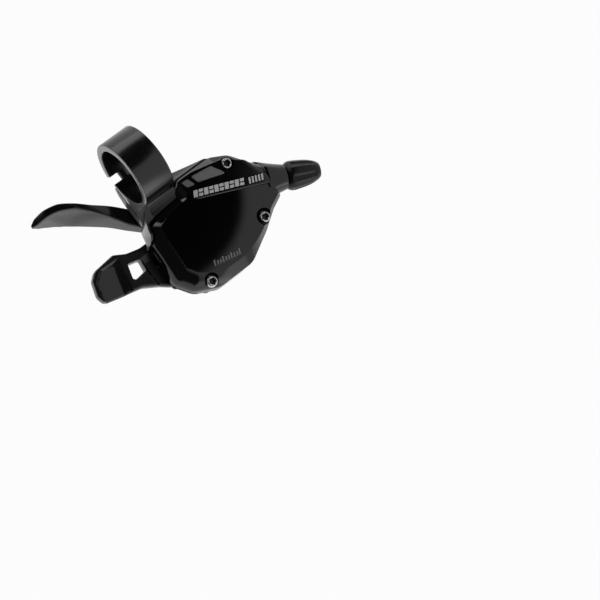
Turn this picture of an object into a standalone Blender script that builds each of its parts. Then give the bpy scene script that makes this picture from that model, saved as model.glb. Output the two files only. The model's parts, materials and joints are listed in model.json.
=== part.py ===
"""Right-hand thumb shifter for a flat handlebar, as an assembly of separate pieces.

Frame: the origin is the centre of the handlebar bore at mid-width. +X runs along the handlebar
towards the cable adjuster (inboard), +Y from the mechanism towards the handlebar, and +Z out of
the top cover. Every length below is in millimetres; make() turns them into metres.
"""

import math

import bmesh
import bpy
from mathutils import Matrix, Vector

MM = 0.001
FIT = 0.3                      # gap between neighbouring pieces

# Handlebar clamp
BORE_R = 11.1
RING_R = 14.0
CLAMP_HALF = 6.35
LIP_ANGLE = -72                # free lip of the clamp, degrees from +Y towards +Z
WEB_ANGLE = 266                # lip on the web
ARM_ANGLE = 148                # where the arm leaves the ring
WEB_Z = -12.8
FOOT_Y = -19.2
BOLT_R = 2.0
BOLT_HEAD_R = 3.2
BOLT_Z = -14.2
BOLT_HEAD_Y = -15.4
FIXING_X = (-5.2, 3.4)
FIXING_Z = -7.2

# Body: outline corners (x, y, rounding), anticlockwise
BAR_CLEARANCE_R = 12.2
WALL_Y = -19.5
LEFT_SIDE = [(-10.8, WALL_Y, 3.0), (-13.4, -26.2, 4.0), (-14.7, -41.5, 5.0), (-10.2, -48.1, 6.0),
             (-1.8, -52.0, 6.0)]
RIGHT_SIDE = [
    (13.0, -52.0, 8.0), (24.5, -46.0, 6.0), (31.9, -41.1, 6.0), (37.3, -38.6, 1.5),
    (38.6, -27.0, 1.5), (34.3, -21.6, 6.0), (30.0, -15.6, 5.0),
]
STEP_CORNER = (7.0, WALL_Y, 1.0)
COVER_SHOULDER = [(24.0, -12.4, 6.0), (8.6, -12.4, 1.5), STEP_CORNER]
BASE_SHOULDER = [(24.0, -11.3, 8.0), (8.6, -7.5, 1.5), STEP_CORNER]
COVER_CORNERS = LEFT_SIDE + RIGHT_SIDE + COVER_SHOULDER
LEFT_TAPER = 2.3               # how far the body's left side comes in from its rim to its floor
WALL = 1.7
FLOOR_Z = -12.0
FLOOR_TOP_Z = -10.4
SPLIT_Z = -4.15
COVER_TOP_Z = 3.2
COVER_EDGE_Z = 0.4             # where the cover's bevel begins
COVER_BEVEL = 2.0
COVER_SKIN = 1.6

COVER_SCREWS = [(27.3, -18.1), (26.5, -41.6), (-4.0, -48.7)]
PILLAR_R = (3.0, 2.9, 2.4)
SCREW_HEAD_R = 2.1
SCREW_SHANK_R = 1.25
SCREW_SEAT_Z = 0.9
SCREW_END_Z = -7.4
PORT_CENTRE = (23.0, -35.0)    # the hole in the floor for changing the cable
PORT_R = 2.6

# Name plate and its two windows, on the cover
PLATE_BOTTOM_Z = COVER_TOP_Z + FIT
PLATE_TOP_Z = 4.1
PLATE_CORNERS = [
    (6.0, -20.6, 1.2), (36.2, -33.3, 0.8), (37.0, -30.0, 1.5), (33.4, -20.8, 4.0),
    (26.5, -15.6, 4.0), (14.4, -12.9, 3.0), (8.6, -12.7, 2.0), (5.0, -16.0, 1.2),
]
LARGE_WINDOW = [(14.2, -17.7, 0.5), (25.1, -21.1, 0.5), (21.5, -15.2, 0.8), (13.1, -14.3, 0.5)]
SMALL_WINDOW = [(9.9, -17.2, 0.4), (13.4, -17.9, 0.4), (12.2, -14.3, 0.4), (8.9, -13.9, 0.4)]

# Main pivot and everything that turns on it
PIVOT = (5.0, -35.5)
SHAFT_R = 2.5
BUSH_INNER_R = SHAFT_R + FIT
BUSH_OUTER_R = 3.5
HUB_HOLE_R = BUSH_OUTER_R + FIT
SHAFT_HEAD = (-17.8, -16.2)
SHAFT_TOP_Z = 1.3
CLIP_Z = (0.45, 0.85)
SPOOL_Z = (-4.8, 0.0)
SPOOL_GROOVE_R = 10.0
SPOOL_FLANGE_R = 11.5
SPOOL_CUP_R = (4.6, 9.1)
WHEEL_Z = (-6.7, -5.1)
WHEEL_TEETH = 20
WHEEL_TIP_R = 10.6
WHEEL_ROOT_R = 9.2

# Pull lever
PULL_Z = (-8.6, -7.0)
PULL_HUB_R = 9.0
PULL_ARM_ANGLE = 162
PULL_ARM_HALF = 2.8
PULL_FORK_ANGLE = 164.5        # outside the body the arm widens around the paddle's window
PULL_FORK_HALF = 4.4
PULL_FORK_R = (20.4, 30.5)
PULL_PAWL_ANGLE = -62
PAWL_PIN_R = 13.6
PADDLE_Z = (-9.8, -6.0)
PADDLE_INNER_R = 19.4
PADDLE_OUTLINE = [
    (-13.0, -42.0, 0.8), (-11.2, -23.4, 0.8), (-15.3, -23.4, 3.0), (-20.3, -22.2, 4.0),
    (-24.8, -19.7, 1.5), (-33.8, -20.6, 3.0), (-36.4, -22.8, 2.0), (-38.4, -28.4, 3.0),
    (-37.6, -31.8, 2.0), (-31.3, -33.4, 4.0), (-22.9, -35.4, 4.0),
    (-17.4, -38.6, 3.0),
]
PADDLE_WINDOW = [
    (-17.9, -30.7, 1.0), (-17.4, -26.6, 0.8), (-21.9, -25.7, 0.5), (-23.6, -31.4, 1.0),
]
PADDLE_LIP = [
    (-24.6, -21.6, 0.6), (-24.6, -19.7, 0.6), (-33.8, -20.6, 3.0), (-36.4, -22.8, 2.0),
    (-38.4, -28.4, 1.0), (-36.4, -28.6, 0.6), (-34.6, -24.2, 1.0), (-32.9, -22.6, 1.5),
]
PADDLE_LIP_Z = (-11.8, -5.3)

# Release lever
RELEASE_Z = (-14.4, -12.4)
RELEASE_HUB_R = 8.0
RELEASE_LOW_Z = (-20.2, -19.0)
RISER_X = (-1.0, 5.4)
RISER_Y = (-24.2, -22.4)
TONGUE_START = (1.9, -22.9)
TONGUE_END = (-5.0, -14.8)
TONGUE_HALF = 2.4
LINK_ANGLE = 26
LINK_R = 12.6
# Grip sections: centre (x, y, z), width across, thickness
GRIP_SECTIONS = [
    ((0.6, -21.1, -19.7), 6.4, 3.2), ((-3.5, -16.4, -19.6), 7.6, 3.4),
    ((-8.2, -11.8, -18.9), 8.0, 3.7), ((-13.5, -7.2, -17.6), 7.6, 4.5),
    ((-19.1, -3.0, -16.7), 7.4, 4.8), ((-24.0, 0.8, -16.3), 8.0, 4.8),
    ((-28.6, 3.8, -16.1), 8.0, 4.5), ((-33.2, 5.4, -16.2), 6.4, 3.8),
    ((-37.0, 5.9, -16.5), 3.8, 2.8), ((-39.2, 5.8, -16.7), 1.2, 1.0),
]

# Hold pawl
HOLD_ANGLE = 62
HOLD_PIN_R = 14.6
PIN_R = 1.1
PAWL_EYE_R = 2.1
PAWL_NOSE_HALF = 0.7
PAWL_SPAN = 28                 # degrees about the pivot, from a pawl's pin to its nose
PAWL_NOSE_R = 12.2

# Cable adjuster
ADJUSTER_START = (43.9, -34.3, -2.2)
ADJUSTER_ANGLE = -23.8         # from +X
ADJUSTER_DIRECTION = Matrix.Rotation(math.radians(ADJUSTER_ANGLE), 3, "Z") @ Vector((1, 0, 0))
KNOB_LENGTH = 12.9
KNOB_R = 5.4
KNOB_END_R = 4.6
KNOB_FLUTES = 6
STEM_R = 2.9
STEM_LENGTH = 9.0
NECK_R = 4.8
NECK_BORE_R = STEM_R + FIT
DETENT_POCKET_R = 4.2
FERRULE_R = 2.7
FERRULE_DEPTH = 8.0

# Colour (linear), metallic, roughness
FINISHES = {
    "black_plastic": ((0.012, 0.012, 0.013), 0.0, 0.35),
    "gloss_cover": ((0.010, 0.011, 0.012), 0.0, 0.12),
    "black_anodised": ((0.020, 0.020, 0.022), 0.9, 0.35),
    "grey_lens": ((0.10, 0.10, 0.105), 0.0, 0.15),
    "steel": ((0.55, 0.55, 0.56), 1.0, 0.30),
    "dark_steel": ((0.10, 0.10, 0.11), 1.0, 0.35),
    "brass": ((0.70, 0.50, 0.22), 1.0, 0.30),
    "white_plastic": ((0.55, 0.55, 0.53), 0.0, 0.45),
    "rubber": ((0.015, 0.015, 0.015), 0.0, 0.75),
}

AXES = {}                      # world position of each empty, in millimetres


# ---- outlines ---------------------------------------------------------------------------------

def arc(centre, radius, start, end, steps):
    """Points on a circle from start to end, in degrees, both ends included."""
    points = []
    for k in range(steps + 1):
        angle = math.radians(start + (end - start) * k / steps)
        points.append((centre[0] + radius * math.cos(angle), centre[1] + radius * math.sin(angle)))
    return points


def polar(radius, angle, centre=PIVOT):
    """The point at a radius and an angle in degrees about a centre."""
    return arc(centre, radius, angle, angle, 1)[0]


def rounded(corners, steps=3):
    """A closed outline with an arc of its own radius at each corner (x, y, radius)."""
    outline = []
    for i, (x, y, radius) in enumerate(corners):
        here = Vector((x, y))
        to_before = (Vector(corners[i - 1][:2]) - here).normalized()
        to_after = (Vector(corners[(i + 1) % len(corners)][:2]) - here).normalized()
        half = to_before.angle(to_after) / 2
        centre = here + (to_before + to_after).normalized() * (radius / math.sin(half))
        first = here + to_before * (radius / math.tan(half)) - centre
        last = here + to_after * (radius / math.tan(half)) - centre
        start = math.degrees(math.atan2(first.y, first.x))
        turn = math.degrees(math.atan2(last.y, last.x)) - start
        turn = (turn + 180) % 360 - 180
        outline += arc(centre, radius, start, start + turn, steps)
    return outline


def inset(corners, distance):
    """Corners of the outline moved inward by a distance, with their rounding to match."""
    moved = []
    for i, (x, y, radius) in enumerate(corners):
        here = Vector((x, y))
        before = (here - Vector(corners[i - 1][:2])).normalized()
        after = (Vector(corners[(i + 1) % len(corners)][:2]) - here).normalized()
        normal_before = Vector((-before.y, before.x))
        normal_after = Vector((-after.y, after.x))
        shift = (normal_before + normal_after) * (distance / (1 + normal_before.dot(normal_after)))
        is_outer = before.cross(after) > 0
        new_radius = max(radius - distance, 0.3) if is_outer else radius + distance
        moved.append((x + shift.x, y + shift.y, new_radius))
    return moved


def strip(start, end, half_width):
    """The rectangle around a straight run, anticlockwise."""
    along = (Vector(end) - Vector(start)).normalized()
    side = Vector((-along.y, along.x)) * half_width
    return [tuple(Vector(start) - side), tuple(Vector(end) - side),
            tuple(Vector(end) + side), tuple(Vector(start) + side)]


def at_height(outline, z):
    return [(x, y, z) for x, y in outline]


# ---- solids -----------------------------------------------------------------------------------

def lofted(loops, ring=False):
    """A body through loops of equal point counts: capped at both ends, or closed as a ring."""
    bm = bmesh.new()
    rings = [[bm.verts.new(point) for point in loop] for loop in loops]
    pairs = list(zip(rings, rings[1:]))
    if ring:
        pairs.append((rings[-1], rings[0]))
    for low, high in pairs:
        for i in range(len(low)):
            j = (i + 1) % len(low)
            bm.faces.new((low[i], low[j], high[j], high[i]))
    if not ring:
        bm.faces.new(rings[0][::-1])
        bm.faces.new(rings[-1])
    return bm


def prism(outline, low_z, high_z):
    """An upright body with a flat outline."""
    return lofted([at_height(outline, low_z), at_height(outline, high_z)])


def circle(radius, segments, centre=(0, 0)):
    return arc(centre, radius, 0, 360 * (segments - 1) / segments, segments - 1)


def disc(centre, radius, low_z, high_z, segments=24):
    return prism(circle(radius, segments, centre), low_z, high_z)


def turned(profile, segments=24, ring=False, centre=(0, 0)):
    """A body turned about an upright axis from (radius, z) pairs, capped flat or closed as a ring."""
    return lofted([at_height(circle(r, segments, centre), z) for r, z in profile], ring)


def ring_body(centre, inner, outer, low_z, high_z, segments=24):
    profile = [(inner, low_z), (outer, low_z), (outer, high_z), (inner, high_z)]
    return turned(profile, segments, True, centre)


def wire(points, radius, sides=6):
    """A round wire through a run of points."""
    spots = [Vector(point) for point in points]
    loops = []
    across = None
    for i, spot in enumerate(spots):
        along = (spots[min(i + 1, len(spots) - 1)] - spots[max(i - 1, 0)]).normalized()
        if across is None:
            across = along.orthogonal()
        across = (across - along * across.dot(along)).normalized()
        other = along.cross(across)
        loop = []
        for k in range(sides):
            angle = 2 * math.pi * k / sides
            loop.append(spot + (across * math.cos(angle) + other * math.sin(angle)) * radius)
        loops.append(loop)
    return lofted(loops)


def spiral_strip(centre, inner, outer, turns, start, thickness, low_z, high_z):
    """A flat spiral spring wound from strip."""
    steps = int(turns * 14)
    outside = []
    inside = []
    for k in range(steps + 1):
        radius = inner + (outer - inner) * k / steps
        angle = start + 360 * turns * k / steps
        outside.append(polar(radius + thickness / 2, angle, centre))
        inside.append(polar(radius - thickness / 2, angle, centre))
    return prism(outside + inside[::-1], low_z, high_z)


def along_axis(bm, origin, direction):
    """Turns a body made on the upright axis to lie along a direction from a point."""
    turn = Vector((0, 0, 1)).rotation_difference(direction).to_matrix().to_4x4()
    bmesh.ops.transform(bm, matrix=Matrix.Translation(origin) @ turn, verts=bm.verts)
    return bm


def across_bar(outline, low_x, high_x):
    """A body with a (y, z) outline, extruded along the handlebar."""
    loops = [[(x, y, z) for y, z in outline] for x in (low_x, high_x)]
    return lofted(loops)


# ---- objects ----------------------------------------------------------------------------------

def clear_scene():
    for obj in list(bpy.data.objects):
        bpy.data.objects.remove(obj)


def material(name, finish):
    colour, metallic, roughness = FINISHES[finish]
    result = bpy.data.materials.new(name)
    result.use_nodes = True
    shader = result.node_tree.nodes["Principled BSDF"]
    shader.inputs["Base Color"].default_value = (*colour, 1)
    shader.inputs["Metallic"].default_value = metallic
    shader.inputs["Roughness"].default_value = roughness
    return result


def axis_empty(name, point, parent=None):
    """An empty on a joint's axis."""
    empty = bpy.data.objects.new(name, None)
    bpy.context.scene.collection.objects.link(empty)
    AXES[name] = Vector(point)
    empty.parent = parent
    base = AXES[parent.name] if parent else Vector()
    empty.location = (Vector(point) - base) * MM
    return empty


def place(name, bm, parent):
    """An object from a body in world millimetres, with its origin on its parent's axis."""
    bmesh.ops.recalc_face_normals(bm, faces=bm.faces)
    origin = AXES[parent.name] if parent else Vector()
    bmesh.ops.transform(bm, matrix=Matrix.Scale(MM, 4) @ Matrix.Translation(-origin), verts=bm.verts)
    mesh = bpy.data.meshes.new(name)
    bm.to_mesh(mesh)
    bm.free()
    obj = bpy.data.objects.new(name, mesh)
    obj.parent = parent
    bpy.context.scene.collection.objects.link(obj)
    return obj


def make(name, bm, finish, parent=None):
    """A visible piece with its own material."""
    obj = place(name, bm, parent)
    obj.data.shade_smooth()
    obj.data.set_sharp_from_angle(angle=math.radians(35))
    obj.data.materials.append(material(name + "_finish", finish))
    return obj


def tool(name, bm, parent=None):
    """A hidden shape for a Boolean."""
    obj = place(name, bm, parent)
    obj.hide_render = True
    obj.display_type = "WIRE"
    return obj


def boolean(obj, bm, operation, label):
    """Joins a body to an object, or cuts it away, and returns the hidden shape."""
    other = tool(obj.name + "_" + label, bm)
    modifier = obj.modifiers.new(label, "BOOLEAN")
    modifier.operation = operation
    modifier.solver = "EXACT"
    modifier.object = other
    return other


def cut(obj, bm, label):
    return boolean(obj, bm, "DIFFERENCE", label)


def join(obj, bm, label):
    return boolean(obj, bm, "UNION", label)


# ---- clamp ------------------------------------------------------------------------------------

def bolt_cylinder(radius, low_y, high_y):
    """A round body along Y on the clamp bolt's axis."""
    return along_axis(disc((0, 0), radius, 0, high_y - low_y), (0, low_y, BOLT_Z), Vector((0, 1, 0)))


def fixing_cylinder(x, radius, low_y, high_y):
    """A round body along Y on a fixing screw's axis."""
    body = disc((0, 0), radius, 0, high_y - low_y, 16)
    return along_axis(body, (x, low_y, FIXING_Z), Vector((0, 1, 0)))


def clamp_band():
    outer = arc((0, 0), RING_R, LIP_ANGLE, ARM_ANGLE, 26)
    arm = [(-16.6, -6.0), (FOOT_Y, -10.0), (FOOT_Y, WEB_Z), (-1.2, WEB_Z)]
    bore = arc((0, 0), BORE_R, WEB_ANGLE, LIP_ANGLE, 40)
    band = make("clamp_band", across_bar(outer + arm + bore, -CLAMP_HALF, CLAMP_HALF),
                "black_anodised")
    foot = [(-10.4, FOOT_Y), (CLAMP_HALF, FOOT_Y), (CLAMP_HALF, -16.4), (-6.2, -11.6), (-10.4, -18.4)]
    join(band, prism(foot, -10.9, -0.6), "foot")
    lip_boss = [(4.2, -12.9), (4.7, -16.8), (8.8, -16.8), (11.4, -8.2)]
    join(band, across_bar(lip_boss, -3.4, 3.4), "lip_boss")
    cut(band, bolt_cylinder(BOLT_R + FIT, -16, 12), "bolt_hole")
    cut(band, bolt_cylinder(BOLT_HEAD_R + FIT, -21, BOLT_HEAD_Y + FIT), "head_pocket")
    for i, x in enumerate(FIXING_X, 1):
        cut(band, fixing_cylinder(x, SCREW_SHANK_R + FIT, -20, -16.6), f"fixing_hole_{i}")


def clamp_lug():
    outline = [(-0.2, -14.6), (-1.2, -13.1), (-14.8, -13.1), (-16.9, -13.9), (-18.2, -17.0),
               (-12.7, -17.3), (-7.3, -17.3), (-2.8, -16.1)]
    lug = make("clamp_lug", across_bar(outline, -CLAMP_HALF, CLAMP_HALF), "black_anodised")
    cut(lug, bolt_cylinder(BOLT_R + FIT, -17, 2), "bolt_hole")
    cut(lug, bolt_cylinder(BOLT_HEAD_R + FIT, -21, BOLT_HEAD_Y + FIT), "head_pocket")


def socket_screw(name, profile, socket_r, socket_depth, origin, direction, finish):
    """A screw from its (radius, height) profile, head down at height 0, with a hexagon socket."""
    body = turned(profile, 24)
    screw = make(name, along_axis(body, origin, direction), finish)
    socket = prism(circle(socket_r, 6), -1, socket_depth)
    cut(screw, along_axis(socket, origin, direction), "socket")


def clamp_bolt():
    head = 3.6
    length = 27.4
    profile = [(BOLT_HEAD_R - 0.4, 0), (BOLT_HEAD_R, 0.4), (BOLT_HEAD_R, head), (BOLT_R, head),
               (BOLT_R, length - 0.4), (BOLT_R - 0.4, length)]
    socket_screw("clamp_bolt", profile, 1.7, 2.4, (0, BOLT_HEAD_Y - head, BOLT_Z),
                 Vector((0, 1, 0)), "dark_steel")


def clamp_fixing_screws():
    """Two screws from inside the body wall into the clamp's foot."""
    head = 1.4
    head_r = 1.9
    start = WALL_Y - WALL - FIT - head
    for i, x in enumerate(FIXING_X, 1):
        profile = [(head_r, 0), (head_r, head), (SCREW_SHANK_R, head), (SCREW_SHANK_R, 5.6)]
        socket_screw(f"clamp_fixing_screw_{i}", profile, 0.9, 0.8, (x, start, FIXING_Z),
                     Vector((0, 1, 0)), "steel")


# ---- body -------------------------------------------------------------------------------------

def bar_cutter():
    body = disc((0, 0), BAR_CLEARANCE_R, 0, 90, 64)
    return along_axis(body, (-25, 0, 0), Vector((1, 0, 0)))


def adjuster_cylinder(radius, start, end, segments=28):
    """A round body on the adjuster's axis, between two distances from the knob's shoulder."""
    origin = Vector(ADJUSTER_START) + ADJUSTER_DIRECTION * start
    return along_axis(disc((0, 0), radius, 0, end - start, segments), origin, ADJUSTER_DIRECTION)


def cavity_with_pillars(obj, bottom, top, low_z, high_z):
    """Cuts a cavity that leaves the screw pillars standing."""
    cavity = cut(obj, lofted([at_height(bottom, low_z), at_height(top, high_z)]), "cavity")
    for i, (centre, radius) in enumerate(zip(COVER_SCREWS, PILLAR_R), 1):
        cut(cavity, disc(centre, radius, low_z - 1, high_z + 1, 20), f"pillar_{i}")
    return cavity


def shifted(corners, distance):
    """Corners moved along the handlebar."""
    return [(x + distance, y, radius) for x, y, radius in corners]


def housing_base():
    rim = rounded(LEFT_SIDE + RIGHT_SIDE + BASE_SHOULDER)
    floor = rounded(shifted(LEFT_SIDE, LEFT_TAPER) + RIGHT_SIDE + BASE_SHOULDER)
    rim_z = SPLIT_Z - FIT / 2
    base = make("housing_base", lofted([at_height(floor, FLOOR_Z), at_height(rim, rim_z)]),
                "black_plastic")
    cut(base, bar_cutter(), "bar")
    taper = LEFT_TAPER * (rim_z - FLOOR_TOP_Z) / (rim_z - FLOOR_Z)
    inner_floor = shifted(LEFT_SIDE, taper) + RIGHT_SIDE + COVER_SHOULDER
    cavity_with_pillars(base, rounded(inset(inner_floor, WALL)), rounded(inset(COVER_CORNERS, WALL)),
                        FLOOR_TOP_Z, rim_z + 0.01)
    join(base, disc(COVER_SCREWS[2], 2.0, -8.6, rim_z, 20), "corner_boss")
    window = arc(PIVOT, 26, 140, 226, 8) + arc(PIVOT, 15, 226, 140, 8)
    cut(base, prism(window, -10.2, 0), "lever_window")
    cut(base, disc(PIVOT, SHAFT_R + FIT, -13, -9), "shaft_hole")
    slot = arc(PIVOT, LINK_R + 1.4, LINK_ANGLE - 7, LINK_ANGLE + 20, 6)
    slot += arc(PIVOT, LINK_R - 1.4, LINK_ANGLE + 20, LINK_ANGLE - 7, 6)
    cut(base, prism(slot, -13, -9), "link_slot")
    cut(base, disc(PORT_CENTRE, PORT_R + FIT, -13, -9, 20), "port")
    cut(base, adjuster_cylinder(NECK_R + FIT, -16, 4), "neck")
    for i, centre in enumerate(COVER_SCREWS, 1):
        cut(base, disc(centre, SCREW_SHANK_R + FIT, SCREW_END_Z - 2 * FIT, 0, 16), f"screw_hole_{i}")
    for i, x in enumerate(FIXING_X, 1):
        cut(base, fixing_cylinder(x, SCREW_SHANK_R + FIT, -23, -17), f"fixing_hole_{i}")


def top_cover():
    edge = rounded(COVER_CORNERS)
    top = rounded(inset(COVER_CORNERS, COVER_BEVEL))
    loops = [at_height(edge, SPLIT_Z + FIT / 2), at_height(edge, COVER_EDGE_Z),
             at_height(top, COVER_TOP_Z)]
    cover = make("top_cover", lofted(loops), "gloss_cover")
    join(cover, adjuster_cylinder(NECK_R, -10, -0.5), "neck")
    hollow = rounded(inset(COVER_CORNERS, COVER_BEVEL + 0.6))
    cavity = cavity_with_pillars(cover, hollow, hollow, -9, COVER_TOP_Z - COVER_SKIN)
    cut(cavity, adjuster_cylinder(NECK_R - 0.2, -9.5, 0), "neck")
    cut(cover, adjuster_cylinder(NECK_BORE_R, -14, 2), "neck_bore")
    cut(cover, adjuster_cylinder(DETENT_POCKET_R, -3.4, 3), "detent_pocket")
    for i, centre in enumerate(COVER_SCREWS, 1):
        cut(cover, disc(centre, SCREW_SHANK_R + FIT, -9, 9, 16), f"screw_hole_{i}")
        cut(cover, disc(centre, SCREW_HEAD_R + 0.5, SCREW_SEAT_Z, 9, 20), f"screw_seat_{i}")


def name_plate():
    plate = make("name_plate", prism(rounded(PLATE_CORNERS), PLATE_BOTTOM_Z, PLATE_TOP_Z),
                 "gloss_cover")
    for label, corners in (("large", LARGE_WINDOW), ("small", SMALL_WINDOW)):
        cut(plate, prism(rounded(corners), 3, 5), label + "_window")
        lens = prism(rounded(inset(corners, FIT)), PLATE_BOTTOM_Z, PLATE_TOP_Z + 0.1)
        make("indicator_lens_" + label, lens, "grey_lens")
    cut(plate, disc(COVER_SCREWS[0], SCREW_HEAD_R + 0.7, 3, 5), "screw_seat")


def cover_screws():
    head = 2.1
    for i, centre in enumerate(COVER_SCREWS, 1):
        top = SCREW_SEAT_Z + FIT + head
        profile = [(SCREW_HEAD_R - 0.4, 0), (SCREW_HEAD_R, 0.4), (SCREW_HEAD_R, head),
                   (SCREW_SHANK_R, head), (SCREW_SHANK_R, top - SCREW_END_Z)]
        socket_screw(f"cover_screw_{i}", profile, 1.3, 1.3, (*centre, top), Vector((0, 0, -1)),
                     "steel")


def cable_port_plug():
    profile = [(PORT_R + 0.6, -12.9), (PORT_R + 0.6, -12.3), (PORT_R, -12.3), (PORT_R, -10.2)]
    make("cable_port_plug", turned(profile, 20, False, PORT_CENTRE), "rubber")


# ---- main shaft and spool ---------------------------------------------------------------------

def main_shaft():
    groove_r = SHAFT_R - 0.6
    profile = [(3.8, SHAFT_HEAD[0]), (4.2, SHAFT_HEAD[0] + 0.4), (4.2, SHAFT_HEAD[1]),
               (SHAFT_R, SHAFT_HEAD[1]), (SHAFT_R, CLIP_Z[0] - FIT / 2), (groove_r, CLIP_Z[0] - FIT / 2),
               (groove_r, CLIP_Z[1] + FIT / 2), (SHAFT_R, CLIP_Z[1] + FIT / 2), (SHAFT_R, SHAFT_TOP_Z)]
    shaft = make("main_shaft", turned(profile, 24, False, PIVOT), "steel")
    cut(shaft, prism(circle(1.6, 6, PIVOT), -19, SHAFT_HEAD[0] + 1.2), "socket")


def shaft_circlip():
    inner = SHAFT_R - FIT
    outline = arc(PIVOT, 3.9, 30, 330, 16) + arc(PIVOT, inner, 330, 30, 16)
    make("shaft_circlip", prism(outline, *CLIP_Z), "steel")


def cable_spool(parent):
    low, top = SPOOL_Z
    cup_inner, cup_outer = SPOOL_CUP_R
    cup_floor = -3.0
    profile = [(HUB_HOLE_R, low), (SPOOL_FLANGE_R, low), (SPOOL_FLANGE_R, low + 0.9),
               (SPOOL_GROOVE_R, low + 1.4), (SPOOL_GROOVE_R, low + 2.6),
               (SPOOL_FLANGE_R, low + 3.1), (SPOOL_FLANGE_R, top), (cup_outer, top),
               (cup_outer, cup_floor), (cup_inner, cup_floor), (cup_inner, top), (HUB_HOLE_R, top)]
    make("cable_spool", turned(profile, 32, True, PIVOT), "white_plastic", parent)


def ratchet_wheel(parent):
    pitch = 360 / WHEEL_TEETH
    outline = []
    for tooth in range(WHEEL_TEETH):
        angle = tooth * pitch
        outline.append(polar(WHEEL_ROOT_R, angle))
        outline.append(polar(WHEEL_TIP_R, angle + 0.20 * pitch))
        outline.append(polar(WHEEL_TIP_R, angle + 0.38 * pitch))
        outline.append(polar(WHEEL_ROOT_R, angle + 0.94 * pitch))
    wheel = make("ratchet_wheel", prism(outline, *WHEEL_Z), "steel", parent)
    cut(wheel, disc(PIVOT, HUB_HOLE_R, WHEEL_Z[0] - 1, WHEEL_Z[1] + 1), "bore")


def bush(name, z_range, parent):
    body = ring_body(PIVOT, BUSH_INNER_R, BUSH_OUTER_R, *z_range)
    make(name, body, "brass", parent)


def spool_spring():
    body = spiral_strip(PIVOT, 5.3, 8.5, 2.5, 40, 0.35, -2.7, -0.3)
    make("spool_spring", body, "steel")


# ---- pull lever -------------------------------------------------------------------------------

def pull_lever_plate(parent):
    low, high = PULL_Z
    plate = make("pull_lever_plate", disc(PIVOT, PULL_HUB_R, low, high, 32), "steel", parent)
    arm = strip(polar(4, PULL_ARM_ANGLE), polar(PULL_FORK_R[0] + 1, PULL_ARM_ANGLE), PULL_ARM_HALF)
    join(plate, prism(arm, low, high), "arm")
    fork_start, fork_end = (polar(radius, PULL_FORK_ANGLE) for radius in PULL_FORK_R)
    join(plate, prism(strip(fork_start, fork_end, PULL_FORK_HALF), low, high), "fork")
    cut(plate, prism(rounded(inset(PADDLE_WINDOW, -0.5)), low - 1, high + 1), "window")
    ear_inner = strip(polar(4, PULL_PAWL_ANGLE), polar(PAWL_PIN_R + 1.8, PULL_PAWL_ANGLE), 2.4)
    join(plate, prism(ear_inner, low, high), "ear")
    cut(plate, disc(PIVOT, HUB_HOLE_R, low - 1, high + 1), "bore")
    cut(plate, disc(polar(PAWL_PIN_R, PULL_PAWL_ANGLE), PIN_R + FIT, low - 1, high + 1, 16), "pin_hole")


def pull_lever_paddle(parent):
    low, high = PADDLE_Z
    paddle = make("pull_lever_paddle", prism(rounded(PADDLE_OUTLINE), low, high), "black_plastic",
                  parent)
    lip = prism(rounded(PADDLE_LIP), *PADDLE_LIP_Z)
    join(paddle, lip, "lip")
    cut(paddle, disc(PIVOT, PADDLE_INNER_R, low - 2, high + 2, 72), "inner_arc")
    cut(paddle, prism(rounded(PADDLE_WINDOW), low - 2, high + 2), "window")
    slot = strip(polar(17, PULL_FORK_ANGLE), polar(PULL_FORK_R[1] + FIT, PULL_FORK_ANGLE),
                 PULL_FORK_HALF + FIT)
    cut(paddle, prism(slot, PULL_Z[0] - FIT, PULL_Z[1] + FIT), "plate_slot")


def pawl_outline(pin, nose, half_width):
    """A pawl: a round eye at its pin and a narrow nose."""
    axis = (Vector(nose) - Vector(pin)).normalized()
    side = Vector((-axis.y, axis.x))
    start = math.degrees(math.atan2(side.y, side.x))
    eye = arc(pin, half_width, start, start + 180, 10)
    tip = Vector(nose)
    return eye + [tuple(tip - side * PAWL_NOSE_HALF), tuple(tip + side * PAWL_NOSE_HALF)]


def pawl(prefix, pin_angle, pin_radius, span, parent, pin_parent, pin_z):
    """A pawl beside the ratchet wheel, with its pin and its wire spring."""
    pin = polar(pin_radius, pin_angle)
    nose = polar(PAWL_NOSE_R, pin_angle + span)
    body = prism(pawl_outline(pin, nose, PAWL_EYE_R), *WHEEL_Z)
    piece = make(prefix, body, "steel", parent)
    cut(piece, disc(pin, PIN_R + FIT, WHEEL_Z[0] - 1, WHEEL_Z[1] + 1, 16), "pin_hole")
    make(prefix + "_pin", disc(pin, PIN_R, *pin_z, 16), "steel", pin_parent)
    height = WHEEL_Z[1] + 0.6
    spring_start = polar(pin_radius, pin_angle)
    spring_bend = polar(pin_radius + 0.6, pin_angle + span / 2)
    spring_end = polar(PAWL_NOSE_R + 0.4, pin_angle + span)
    route = [(*spring_start, height), (*spring_bend, height), (*spring_end, height)]
    make(prefix + "_spring", wire(route, 0.2), "steel", pin_parent)


# ---- release lever ----------------------------------------------------------------------------

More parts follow.
